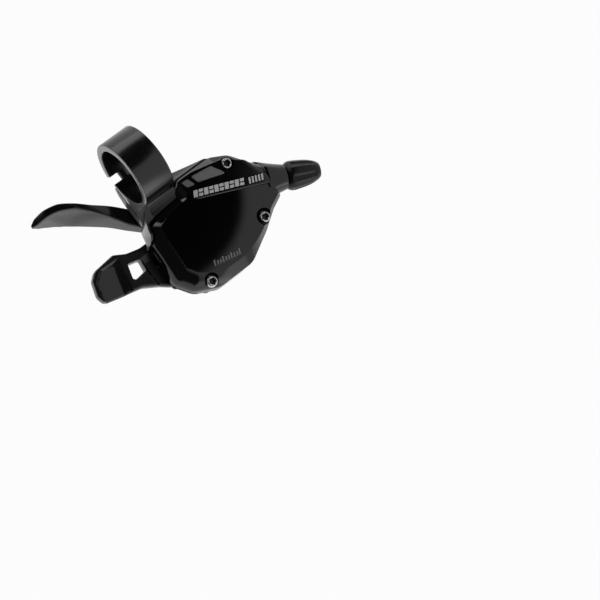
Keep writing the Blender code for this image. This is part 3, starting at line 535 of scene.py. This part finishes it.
def painted_light_mask(tree, place, axis):
    """Mask for painted light: 1 on faces that look along an axis of the object, 0 on those that look
    elsewhere.
    """
    along = tree.nodes.new("ShaderNodeVectorMath")
    along.operation = "DOT_PRODUCT"
    along.inputs[1].default_value = Vector(axis).normalized()
    tree.links.new(place.outputs["Normal"], along.inputs[0])
    return remapped(tree, along.outputs["Value"], PAINTED_LIGHT_RANGE, (0, 1))


def surface(name, colour, metallic, roughness, variation=0.05, grain=0.0, grain_size=0.3,
            coat=0.0, specular=0.5, painted_light_colour=None, painted_light_axis=(-1, 0, 0)):
    """A Principled material whose roughness, colour and fine relief vary through noise.

    Faces that look along an axis can get a lighter colour: painted light and reflection, not a colour
    of their own.
    """
    result = bpy.data.materials.new(name)
    result.use_nodes = True
    tree = result.node_tree
    shader = tree.nodes["Principled BSDF"]
    shader.inputs["Metallic"].default_value = metallic
    shader.inputs["Coat Weight"].default_value = coat
    shader.inputs["Coat Roughness"].default_value = COAT_ROUGHNESS
    shader.inputs["Specular IOR Level"].default_value = specular
    place = tree.nodes.new("ShaderNodeTexCoord")

    broad = noise(tree, place, BROAD_SCALE, 4)
    spread = remapped(tree, broad, (0, 1), (roughness - variation, roughness + variation))
    tree.links.new(spread, shader.inputs["Roughness"])
    tone = colour_mix(tree, broad, [c * (1 - MOTTLE) for c in colour],
                      [c * (1 + MOTTLE) for c in colour])
    # painted light: faces that look along the axis are lightened to stand in for the light and
    # reflection they catch
    if painted_light_colour:
        tone = colour_mix(tree, painted_light_mask(tree, place, painted_light_axis), tone, painted_light_colour)
    tree.links.new(tone, shader.inputs["Base Color"])

    if grain:
        bump = tree.nodes.new("ShaderNodeBump")
        bump.inputs["Strength"].default_value = grain
        bump.inputs["Distance"].default_value = GRAIN_DEPTH_M
        tree.links.new(noise(tree, place, 1000 / grain_size, 3), bump.inputs["Height"])
        tree.links.new(bump.outputs["Normal"], shader.inputs["Normal"])
    return result


def make_materials():
    """Every material, by the slot or the part it is for."""
    return {
        "gloss_cover": surface("cover_gloss_black", (0.0022, 0.0023, 0.0024), 0, 0.07, 0.02,
                               grain=0.02, grain_size=2.5),
        "gloss_plate": surface("plate_gloss_black", (0.0026, 0.0026, 0.0028), 0, 0.12, 0.03,
                               grain=0.03, grain_size=1.5),
        "black_plastic": surface("base_black_plastic", (0.006, 0.006, 0.0062), 0, 0.34, 0.06,
                                 grain=0.35, grain_size=0.35),
        "lever_plastic": surface("lever_black_plastic", (0.005, 0.005, 0.0055), 0, 0.24, 0.04,
                                 grain=0.25, grain_size=0.30),
        # The grip's thumb face, looking down and out to the thumb's side, gets a painted light grey
        # that stands in for the bright studio wall it reflects
        "grip_plastic": surface("grip_black_plastic", (0.004, 0.004, 0.0045), 0, 0.20, 0.03,
                                grain=0.2, grain_size=0.3, painted_light_colour=(0.20, 0.20, 0.203),
                                painted_light_axis=(-0.42, -0.62, 0.66)),
        "adjuster_plastic": surface("adjuster_black_plastic", (0.004, 0.004, 0.0045), 0, 0.26, 0.05,
                                    grain=0.3, grain_size=0.3, specular=0.25),
        # Faces that look outboard along -X get a painted light grey that stands in for the pale floor
        # they reflect at a grazing angle
        "black_anodised": surface("clamp_black_anodised", (0.008, 0.008, 0.0085), 0.35, 0.20, 0.03,
                                  grain=0.2, grain_size=0.2, specular=0.8,
                                  painted_light_colour=(0.19, 0.19, 0.192)),
        "smoked_lens": surface("lens_smoked", (0.20, 0.20, 0.203), 0, 0.16, 0.03, coat=0.6),
        "steel": surface("steel_bright", (0.50, 0.50, 0.51), 1, 0.15, 0.04, grain=0.1),
        "dark_steel": surface("steel_dark", (0.06, 0.06, 0.063), 1, 0.34, 0.06, grain=0.2),
        "brass": surface("brass_plain", (0.62, 0.44, 0.19), 1, 0.30, 0.06, grain=0.15),
        "white_plastic": surface("spool_white_acetal", (0.52, 0.52, 0.50), 0, 0.42, 0.05,
                                 grain=0.2),
        "rubber": surface("rubber_black", (0.014, 0.014, 0.014), 0, 0.75, 0.06, grain=0.5),
        "ink": surface("ink_grey", (0.58, 0.58, 0.59), 0, 0.45, 0.05, grain=0.2),
        "ink_dark": surface("ink_dark_grey", (0.20, 0.20, 0.202), 0, 0.45, 0.05, grain=0.2),
    }


# ---- camera, floor and light ------------------------------------------------------------------

def camera():
    """The camera at the photo's angle."""
    data = bpy.data.cameras.new("camera")
    data.lens = LENS
    data.sensor_width = 36
    obj = bpy.data.objects.new("camera", data)
    bpy.context.scene.collection.objects.link(obj)
    turn = Matrix((VIEW_RIGHT, VIEW_UP, VIEW_BACK)).transposed().to_4x4()
    obj.matrix_world = Matrix.Translation(VIEW_AIM + VIEW_BACK * VIEW_DISTANCE) @ turn
    bpy.context.scene.camera = obj
    bpy.context.scene.view_settings.view_transform = "Standard"


def floor():
    """A plain pale floor that glows enough to stay white under the object."""
    size = FLOOR_HALF_M
    corners = [(-size, -size, 0), (size, -size, 0), (size, size, 0), (-size, size, 0)]
    obj = raw_mesh("floor", corners, [(0, 1, 2, 3)])
    obj.location = (0, 0, FLOOR_Z_M)
    white = bpy.data.materials.new("floor_white")
    white.use_nodes = True
    shader = white.node_tree.nodes["Principled BSDF"]
    shader.inputs["Base Color"].default_value = (0.10, 0.10, 0.10, 1)
    shader.inputs["Roughness"].default_value = 0.9
    shader.inputs["Specular IOR Level"].default_value = 0.0
    shader.inputs["Emission Color"].default_value = (1, 1, 1, 1)
    shader.inputs["Emission Strength"].default_value = FLOOR_GLOW
    obj.data.materials.append(white)


def cone_factor(nodes, links, direction, axis, angle, softness):
    """1 within an angle of an axis, 0 outside it, with a soft edge, all in degrees."""
    dot = nodes.new("ShaderNodeVectorMath")
    dot.operation = "DOT_PRODUCT"
    dot.inputs[1].default_value = Vector(axis).normalized()
    links.new(direction, dot.inputs[0])
    step = nodes.new("ShaderNodeMapRange")
    step.interpolation_type = "SMOOTHSTEP"
    step.inputs["From Min"].default_value = math.cos(math.radians(angle + softness))
    step.inputs["From Max"].default_value = math.cos(math.radians(angle - softness))
    links.new(dot.outputs["Value"], step.inputs["Value"])
    return step.outputs["Result"]


def world():
    """The studio's surroundings: a pale tent with the patches laid over it."""
    result = bpy.data.worlds.new("studio")
    result.use_nodes = True
    nodes = result.node_tree.nodes
    links = result.node_tree.links
    nodes["Background"].inputs["Color"].default_value = (1, 1, 1, 1)
    direction = nodes.new("ShaderNodeTexCoord").outputs["Generated"]
    level = None
    for axis, angle, softness, value in PATCHES:
        mix = nodes.new("ShaderNodeMix")
        mix.data_type = "FLOAT"
        mix.inputs["A"].default_value = TENT_LEVEL
        mix.inputs["B"].default_value = value
        if level:
            links.new(level, mix.inputs["A"])
        links.new(cone_factor(nodes, links, direction, axis, angle, softness), mix.inputs["Factor"])
        level = mix.outputs["Result"]
    links.new(level, nodes["Background"].inputs["Strength"])
    bpy.context.scene.world = result


# ---- top cover --------------------------------------------------------------------------------

def crown_z(points):
    """Height of the cover's crowned top."""
    away = np.linalg.norm(np.asarray(points, float) - COVER_CENTRE, axis=1)
    return COVER_TOP_Z + CROWN * (1 - (away / CROWN_R) ** 2)


def capped_rings(centre, last_ring, height, steps=14):
    """Loops from the last ring in to a hair from the centre, over a surface of a given height."""
    loops = []
    for k in range(1, steps + 1):
        ring = centre + (last_ring - centre) * max(1 - k / steps, 0.002)
        loops.append(at_height(ring, height(ring)))
    return loops


def top_cover(materials):
    """The glossy shell: its walls, its edge of changing shape and its crowned top."""
    centre = np.array(COVER_CENTRE)
    outline = even(rounded(OUTLINE), COVER_STEP)
    angles = np.degrees(np.arctan2(outline[:, 1] - centre[1], outline[:, 0] - centre[0]))
    width, drop, roundness = around(COVER_EDGE, angles)
    loops = [at_height(inner_ring(outline, centre, COVER_WALL), SPLIT_TOP_Z),
             at_height(inner_ring(outline, centre, COVER_RIM[0]), SPLIT_TOP_Z),
             at_height(outline, SPLIT_TOP_Z + COVER_RIM[1])]
    for share in EDGE_SHARES:
        ring = inner_ring(outline, centre, width * share) if share else outline
        rest = 1 - min(share, 1.0)
        fall = drop * ((1 - roundness) * rest + roundness * soft_fall(1.0, 1 - rest))
        loops.append(at_height(ring, np.maximum(crown_z(ring) - fall, SPLIT_TOP_Z + COVER_LOWEST)))
    loops += capped_rings(centre, loops[-1][:, :2], crown_z)
    cover = lofted("top_cover_shell", loops, cap_start=False)
    profile = [(SCREW_R + wider, z) for wider, z in SEAT_PROFILE]
    cut(cover, [turned(f"seat_{i}", profile, 48, spot) for i, spot in enumerate(SCREWS)])
    finish_piece(cover, "body", materials["gloss_cover"], ["top_cover"])


def cover_neck(materials):
    """The neck that flares from the cover to the adjuster."""
    profile = [(NECK_R + wider, along) for wider, along in NECK_MOUTH]
    for k in range(1, NECK_STEPS + 1):
        t = k / NECK_STEPS
        profile.append((NECK_R + NECK_FLARE * t ** NECK_POWER, NECK_START - NECK_REACH * t))
    neck = turned("top_cover_neck", profile[::-1], 72)
    lay_along(neck, ADJUSTER_START, ADJUSTER_DIRECTION)
    for vertex in neck.data.vertices:
        back = -(vertex.co - ADJUSTER_START).dot(ADJUSTER_DIRECTION)
        excess = max(vertex.co.z - NECK_TOP_Z - NECK_TOP_RISE * back, 0)
        vertex.co.z -= excess * NECK_TOP_SHARE * float(smoothstep(0.0, NECK_TOP_REACH, back))
        if vertex.co.z > 0:
            vertex.co.z -= min(NECK_SINK * max(back - NECK_SINK_FROM, 0) ** 2, vertex.co.z)
    finish_piece(neck, "body", materials["gloss_cover"])


# ---- name plate -------------------------------------------------------------------------------

def plate_z(points):
    """Height of the name plate: raised above the cover, and bent down at its outboard end."""
    spots = np.asarray(points, float)
    bend = np.maximum(PLATE_BEND_X - spots[:, 0], 0)
    away = np.linalg.norm(spots - COVER_CENTRE, axis=1)
    return PLATE_TOP_Z - PLATE_CROWN * (away / CROWN_R) ** 2 - PLATE_BEND * bend ** 2


def lens_z(points):
    """Height of the lenses: a little below the name plate."""
    return plate_z(points) - LENS_SINK


def panel(name, outline, centre, height, low_z, edge):
    """A thin body under a height function, with a softened upper edge."""
    loops = [at_height(outline, low_z)]
    for share in (0, 0.15, 0.35, 0.6, 0.85, 1.0):
        ring = inner_ring(outline, centre, edge * share) if share else outline
        loops.append(at_height(ring, height(ring) - soft_fall(edge, share)))
    loops += capped_rings(centre, loops[-1][:, :2], height, 10)
    return lofted(name, loops)


def name_plate(materials):
    """The raised panel, with a lens in each of its windows."""
    outline = even(rounded(PLATE_CORNERS), STEP)
    plate = panel("name_plate_panel", outline, np.array(PLATE_CENTRE), plate_z, PLATE_LOW_Z,
                  PLATE_EDGE)
    cutters = []
    for label, corners in WINDOWS.items():
        edge = even(rounded(corners), FINE_STEP)
        cutters.append(lofted("cut_" + label,
                              [at_height(shrunk(edge, share), z) for share, z in WINDOW_HOLE]))
        lens = panel("lens_" + label, shrunk(edge, LENS_SHARE), edge.mean(axis=0), lens_z,
                     LENS_LOW_Z, LENS_EDGE)
        finish_piece(lens, "body", materials["smoked_lens"],
                     ["indicator_lens_" + label])
    seat = [(SCREW_R + wider, z) for wider, z in PLATE_SEAT_PROFILE]
    cutters.append(turned("cut_screw", seat, 48, SCREWS[0]))
    cut(plate, cutters)
    finish_piece(plate, "body", materials["gloss_plate"], ["name_plate"])


def slanted_bar(start, along, width, height, lean):
    """Corners of a bar that leans, on a line from a start point."""
    across = np.array([-along[1], along[0]])
    base = np.array(start)
    tip = base + across * height + along * lean
    return [base, base + along * width, tip + along * width, tip]


def flat_marks(name, shapes, height, material):
    """Thin printed shapes that lie on a surface, as one piece."""
    points = []
    faces = []
    for corners in shapes:
        first = len(points)
        n = len(corners)
        for lift in (0.0, MARK_RISE):
            spots = np.array(corners)
            points += [tuple(p) for p in at_height(spots, height(spots) + lift)]
        faces.append(tuple(range(first, first + n))[::-1])
        faces.append(tuple(range(first + n, first + 2 * n)))
        faces += [(first + i, first + (i + 1) % n, first + n + (i + 1) % n, first + n + i)
                  for i in range(n)]
    finish_piece(raw_mesh(name, points, faces), "body", material)


def row(start, end, count, share):
    """Start points of marks in a row, the row's direction and each mark's width."""
    run = np.array(end) - np.array(start)
    length = np.linalg.norm(run)
    along = run / length
    starts = [np.array(start) + along * (length / count) * k for k in range(count)]
    return starts, along, length / count * share


def printed_marks(materials):
    """Plain bars on the name plate and ticks on the cover."""
    starts, along, width = row(*BAND)
    up_half = along * UPPER_HALF[0] + np.array([-along[1], along[0]]) * UPPER_HALF[1]
    shapes = []
    for k, start in enumerate(starts):
        if k % 2:
            shapes += [slanted_bar(base, along, width, HALF_BAR_HEIGHT, HALF_BAR_LEAN)
                       for base in (start, start + up_half)]
        else:
            shapes.append(slanted_bar(start, along, width, BAR_HEIGHT, BAR_LEAN))
    flat_marks("name_plate_bars", shapes, plate_z, materials["ink"])

    starts, along, width = row(*SHORT_BAND)
    shapes = [slanted_bar(start, along, width, SHORT_BAR_HEIGHT, BAR_LEAN) for start in starts]
    flat_marks("name_plate_short_bars", shapes, plate_z, materials["ink"])

    starts, along, width = row(*TICKS)
    shapes = [slanted_bar(start, along, width, TICK_HEIGHTS[k % 3], TICK_LEAN)
              for k, start in enumerate(starts)]
    flat_marks("cover_ticks", shapes, crown_z, materials["ink_dark"])


# ---- screws -----------------------------------------------------------------------------------

def hexagon(radius, count, centre):
    """A hexagon drawn with as many points as a circle."""
    points = []
    for k in range(count):
        angle = 2 * math.pi * k / count
        flat = math.cos(math.pi / 6) / math.cos((angle % (math.pi / 3)) - math.pi / 6)
        points.append((centre[0] + radius * flat * math.cos(angle),
                       centre[1] + radius * flat * math.sin(angle)))
    return np.array(points)


def socket_head(name, head_r, top, height, socket_r, depth, shank_r, end, centre=(0, 0)):
    """A screw with a softened head and a hexagon socket, head up."""
    count = SCREW_POINTS
    rings = [(shank_r, end), (shank_r, top - height), (head_r, top - height)]
    for k in range(6):
        angle = math.radians(18 * k)
        rings.append((head_r - HEAD_SOFT * (1 - math.cos(angle)),
                      top - HEAD_SOFT * (1 - math.sin(angle))))
    rings.append((socket_r * 1.22, top + 0.02))
    sockets = [(socket_r * 1.1, top - 0.12), (socket_r, top - 0.3), (socket_r, top - depth),
               (socket_r * 0.2, top - depth - 0.3)]
    loops = [at_height(circle(radius, count, centre), z) for radius, z in rings]
    loops += [at_height(hexagon(radius, count, centre), z) for radius, z in sockets]
    return lofted(name, loops)


def cover_screws(materials):
    """The cover's screws, and a dark lining inside each one's socket that paints the shade on its wall
    and floor.
    """
    for i, spot in enumerate(SCREWS, 1):
        screw = socket_head(f"cover_screw_{i}_head", SCREW_R, SCREW_TOP_Z, HEAD_HEIGHT, SOCKET_R,
                            SOCKET_DEPTH, SCREW_SHANK_R, SCREW_END_Z, spot)
        finish_piece(screw, "body", materials["steel"], [f"cover_screw_{i}"])
        # painted shade: a thin dark sheet laid just inside the socket's wall and over its floor
        floor_z = SCREW_TOP_Z - SOCKET_DEPTH + 0.05
        inner = hexagon(SOCKET_R - 0.10, SCREW_POINTS, spot)
        outer = hexagon(SOCKET_R - 0.02, SCREW_POINTS, spot)
        painted_shade_lining = lofted(f"cover_screw_{i}_socket", [
            at_height(outer, floor_z - 0.04), at_height(outer, SCREW_TOP_Z - 0.32),
            at_height(inner, SCREW_TOP_Z - 0.40), at_height(inner, floor_z + 0.1)])
        finish_piece(painted_shade_lining, "body", materials["dark_steel"])


# ---- clamp ------------------------------------------------------------------------------------

def bolt_cutters():
    """The room that the clamp bolt's head and shank take, as cutters."""
    cutters = []
    for start_y, radius, length in BOLT_CUTS:
        cutter = turned("bolt_cut", [(radius, 0), (radius, length)], 48)
        cutters.append(lay_along(cutter, (0, start_y, BOLT_Z), (0, 1, 0)))
    return cutters


def clamp_outline():
    """The clamp seen along the bar: from its free lip, over the bar, down its arm to the split."""
    outer = arc((0, 0), RING_R, LIP_ANGLE, ARM_ANGLE, 150)[:-1]
    outer += [tuple(p) for p in smooth_path(ARM_CURVE, ARM_STEPS)]
    corners = [outer[-1]] + ARM_LOW + [(FOOT_Y, WEB_Z), (JAW_Y, WEB_Z)]
    for a, b in zip(corners, corners[1:]):
        for t in np.linspace(0.06, 1, 16):
            outer.append((a[0] + (b[0] - a[0]) * t, a[1] + (b[1] - a[1]) * t))
    return outer


def clamp_band(materials):
    """The split ring with its web: a section across the wall at each point of the outline."""
    loops = []
    for y, z in clamp_outline():
        angle = math.atan2(z, y)
        inner_y, inner_z = BORE_R * math.cos(angle), BORE_R * math.sin(angle)
        skew = SADDLE_SKEW * smoothstep(*SADDLE_Y, y) * smoothstep(*SADDLE_Z, z)
        section = [(-CLAMP_HALF, y - skew, z), (CLAMP_HALF, y, z),
                   (CLAMP_HALF, inner_y, inner_z), (-CLAMP_HALF, inner_y, inner_z)]
        loops.append(rounded_section(section, CLAMP_SOFT))
    band = cut(lofted("clamp_band_ring", loops), bolt_cutters())
    finish_piece(band, "body", materials["black_anodised"], ["clamp_band"])


def cross_block(name, corners, sections):
    """A block that lies along the bar, from its outline and its size at each x."""
    outline = even(rounded(corners), STEP)
    return lofted(name, [[(x, y, z) for y, z in shrunk(outline, share)] for x, share in sections])


def clamp_lip(materials):
    """The boss under the free lip that the bolt screws into."""
    lip = cross_block("clamp_band_lip", LIP_CORNERS, LIP_SECTIONS)
    finish_piece(lip, "body", materials["black_anodised"])


def clamp_lug(materials):
    """The wedge under the web that the bolt pulls against."""
    lug = cut(cross_block("clamp_lug_block", LUG_CORNERS, LUG_SECTIONS), bolt_cutters())
    finish_piece(lug, "body", materials["black_anodised"], ["clamp_lug"])


def clamp_bolt(materials):
    bolt = socket_head("clamp_bolt_head", **BOLT_SIZES)
    lay_along(bolt, (0, BOLT_HEAD_Y, BOLT_Z), (0, -1, 0))
    finish_piece(bolt, "body", materials["dark_steel"], ["clamp_bolt"])


def clamp_wing(materials):
    """The clamp's side face past the foot, which tapers to a point round the body's corner."""
    loops = []
    for low, high in zip(smooth_path(WING_LOW, WING_STEPS), smooth_path(WING_HIGH, WING_STEPS)):
        front = []
        for t in np.linspace(0, 1, 9):
            bulge = WING_BULGE * 4 * t * (1 - t)
            front.append(tuple(low + (high - low) * t - np.array([bulge, 0, 0])))
        back = []
        for x, y, z in front[::-1]:
            root = max(WING_ROOT_X - x, WING_THICK)
            thick = WING_THICK + (root - WING_THICK) * smoothstep(*WING_ROOT_Y, y)
            back.append((x + thick, y, z))
        loops.append(front + back)
    wing = lofted("clamp_band_wing", loops)
    finish_piece(wing, "body", materials["black_anodised"])


# ---- lower shell ------------------------------------------------------------------------------

def housing_sill(materials):
    """The lip that closes the view past the pull lever's root."""
    outline = even(rounded(SILL_CORNERS), STEP)
    centre = outline.mean(axis=0)
    low, high = SILL_Z
    soft = SILL_SOFT
    narrow = inner_ring(outline, centre, soft)
    middle = inner_ring(outline, centre, soft * 0.3)
    loops = [(narrow, low), (middle, low + soft * 0.3), (outline, low + soft),
             (outline, high - soft), (middle, high - soft * 0.3), (narrow, high)]
    sill = lofted("housing_base_sill", [at_height(ring, z) for ring, z in loops])
    finish_piece(sill, "body", materials["black_plastic"])


# ---- levers -----------------------------------------------------------------------------------

def paddle_top(points):
    """Height of the paddle's upper side: a rim, and a sloping dish for the thumb inside it."""
    spots = np.asarray(points, float)
    inside = np.full(len(spots), 99.0)
    for (x, y), angle, soft in DISH_SIDES:
        inward = np.array([math.cos(math.radians(angle)), math.sin(math.radians(angle))])
        inside = np.minimum(inside, (spots - np.array([x, y])) @ inward / soft)
    fall = (spots - np.array(DISH_TOP)) @ np.array(DISH_FALL)
    depth = DISH_STEP + DISH_SLOPE * np.maximum(fall, 0)
    root = ROOT_SLOPE * np.clip(ROOT_TOP_Y - spots[:, 1], 0, ROOT_REACH)
    return (PADDLE_TOP_Z - depth * smoothstep(0, 1, inside)
            - root * smoothstep(*ROOT_X, spots[:, 0]))


def pull_paddle(materials):
    """The thumb paddle, with its window and its clearance round the body."""
    outline = even(rounded(PADDLE_CORNERS), FINE_STEP)
    centre = np.array(PADDLE_CENTRE)
    loops = []
    for share in (1.0, 0.6, 0.3, 0.1):
        ring = inner_ring(outline, centre, PADDLE_SOFT * share)
        loops.append(at_height(ring, PADDLE_LOW_Z + soft_fall(PADDLE_SOFT, share)))
    for share in (0, 0.1, 0.3, 0.6, 1.0):
        ring = inner_ring(outline, centre, PADDLE_SOFT * share) if share else outline
        loops.append(at_height(ring, paddle_top(ring) - soft_fall(PADDLE_SOFT, share)))
    loops += capped_rings(centre, loops[-1][:, :2], paddle_top, PADDLE_TOP_LOOPS)
    paddle = lofted("pull_lever_thumb_paddle", loops)
    window = even(rounded(PADDLE_WINDOW), FINE_STEP)
    cutters = [
        turned("inner_arc", [(PADDLE_INNER_R, -14.0), (PADDLE_INNER_R, -4.0)], 240, PIVOT),
        lofted("window", [at_height(shrunk(window, share), z) for share, z in WINDOW_CUT]),
    ]
    cut(paddle, cutters)
    finish_piece(paddle, "pull_lever", materials["lever_plastic"],
                 ["pull_lever_paddle"])


def grip_section(spot, along, back, ridge, ridge_up, front, low):
    """Corners of the long lever's section: its flat top, its ridge and its sloping thumb face."""
    side = np.array([along[1], -along[0], 0.0])
    side /= np.linalg.norm(side)
    if side[1] < 0:
        side = -side
    up = np.array([0, 0, 1.0])
    tilt = GRIP_TOP_TILT * (back - ridge)
    return [spot + side * back + up * (ridge_up - tilt),
            spot + side * ridge + up * ridge_up,
            spot - side * front - up * (low - GRIP_NOSE),
            spot - side * front * GRIP_UNDER - up * low,
            spot + side * back * GRIP_UNDER - up * low * GRIP_UNDER]


def release_grip(materials):
    """The long thumb lever, as sections along a smooth spine."""
    knots = np.array([s[0] for s in GRIP_STATIONS])
    spine = smooth_path(knots, GRIP_STEPS)
    reach = np.concatenate([[0], np.cumsum(np.linalg.norm(np.diff(knots, axis=0), axis=1))])
    stops = np.linspace(0, reach[-1], GRIP_STEPS)
    values = np.array([s[1:] for s in GRIP_STATIONS])
    sizes = np.stack([np.interp(stops, reach, values[:, k]) for k in range(5)], axis=1)
    loops = []
    for i, (spot, size) in enumerate(zip(spine, sizes)):
        along = spine[min(i + 1, GRIP_STEPS - 1)] - spine[max(i - 1, 0)]
        soft = min(GRIP_SOFT, size[0] * 0.3)
        loops.append(rounded_section(grip_section(spot, along, *size), soft, 5))
    grip = lofted("release_lever_thumb_grip", loops)
    finish_piece(grip, "release_lever", materials["grip_plastic"],
                 ["release_lever_grip"], sharp=GRIP_SHARP)


# ---- cable adjuster ---------------------------------------------------------------------------

def knob_loop(radius, along, flute):
    """A loop round the knob's axis, hollowed by its flutes."""
    loop = []
    for k in range(KNOB_POINTS):
        angle = 2 * math.pi * k / KNOB_POINTS
        reach = radius - max(0.0, math.cos(FLUTES * angle)) ** 0.7 * flute
        loop.append((reach * math.cos(angle), reach * math.sin(angle), along))
    return loop


def barrel_adjuster(materials):
    """The knob: a round collar, then flutes that fade out towards a rounded end."""
    seat = KNOB_LENGTH - KNOB_BORE_DEPTH
    stations = [(STEM_R, STEM_START, 0), (STEM_R, KNOB_PROFILE[0][0], 0)]
    for along, radius in smooth_path(KNOB_PROFILE, 50):
        fade = smoothstep(*FLUTE_RUN[0], along) * (1 - smoothstep(*FLUTE_RUN[1], along))
        stations.append((radius, along, FLUTE * fade))
    stations += [(KNOB_BORE_R, KNOB_LENGTH - 0.1, 0), (KNOB_BORE_R, seat, 0), (CABLE_R, seat, 0),
                 (CABLE_R, STEM_START, 0)]
    knob = lofted("barrel_adjuster_knob", [knob_loop(*station) for station in stations], ring=True)
    lay_along(knob, ADJUSTER_START, ADJUSTER_DIRECTION)
    finish_piece(knob, "adjuster_knob", materials["adjuster_plastic"],
                 ["barrel_adjuster"])


# ---- remaining nodes --------------------------------------------------------------------------

def paint_cad_nodes(materials):
    """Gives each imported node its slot's material, and a fine bevel to those that stay in view."""
    for subpart in frame["record"]["subparts"]:
        node = frame["nodes"][subpart["node"]]
        node.data.materials.clear()
        node.data.materials.append(materials[subpart["material_slot"]])
        if subpart["node"] in BEVELLED_NODES:
            modifier = node.modifiers.new("soft_edges", "BEVEL")
            modifier.width = NODE_BEVEL * MM
            modifier.segments = 2
            modifier.limit_method = "ANGLE"
            modifier.angle_limit = math.radians(NODE_BEVEL_ANGLE)


def build():
    """Everything in the scene, from the studio to the last piece."""
    camera()
    floor()
    world()
    materials = make_materials()
    paint_cad_nodes(materials)
    top_cover(materials)
    cover_neck(materials)
    name_plate(materials)
    printed_marks(materials)
    cover_screws(materials)
    clamp_band(materials)
    clamp_lip(materials)
    clamp_lug(materials)
    clamp_bolt(materials)
    clamp_wing(materials)
    housing_sill(materials)
    pull_paddle(materials)
    release_grip(materials)
    barrel_adjuster(materials)


build()
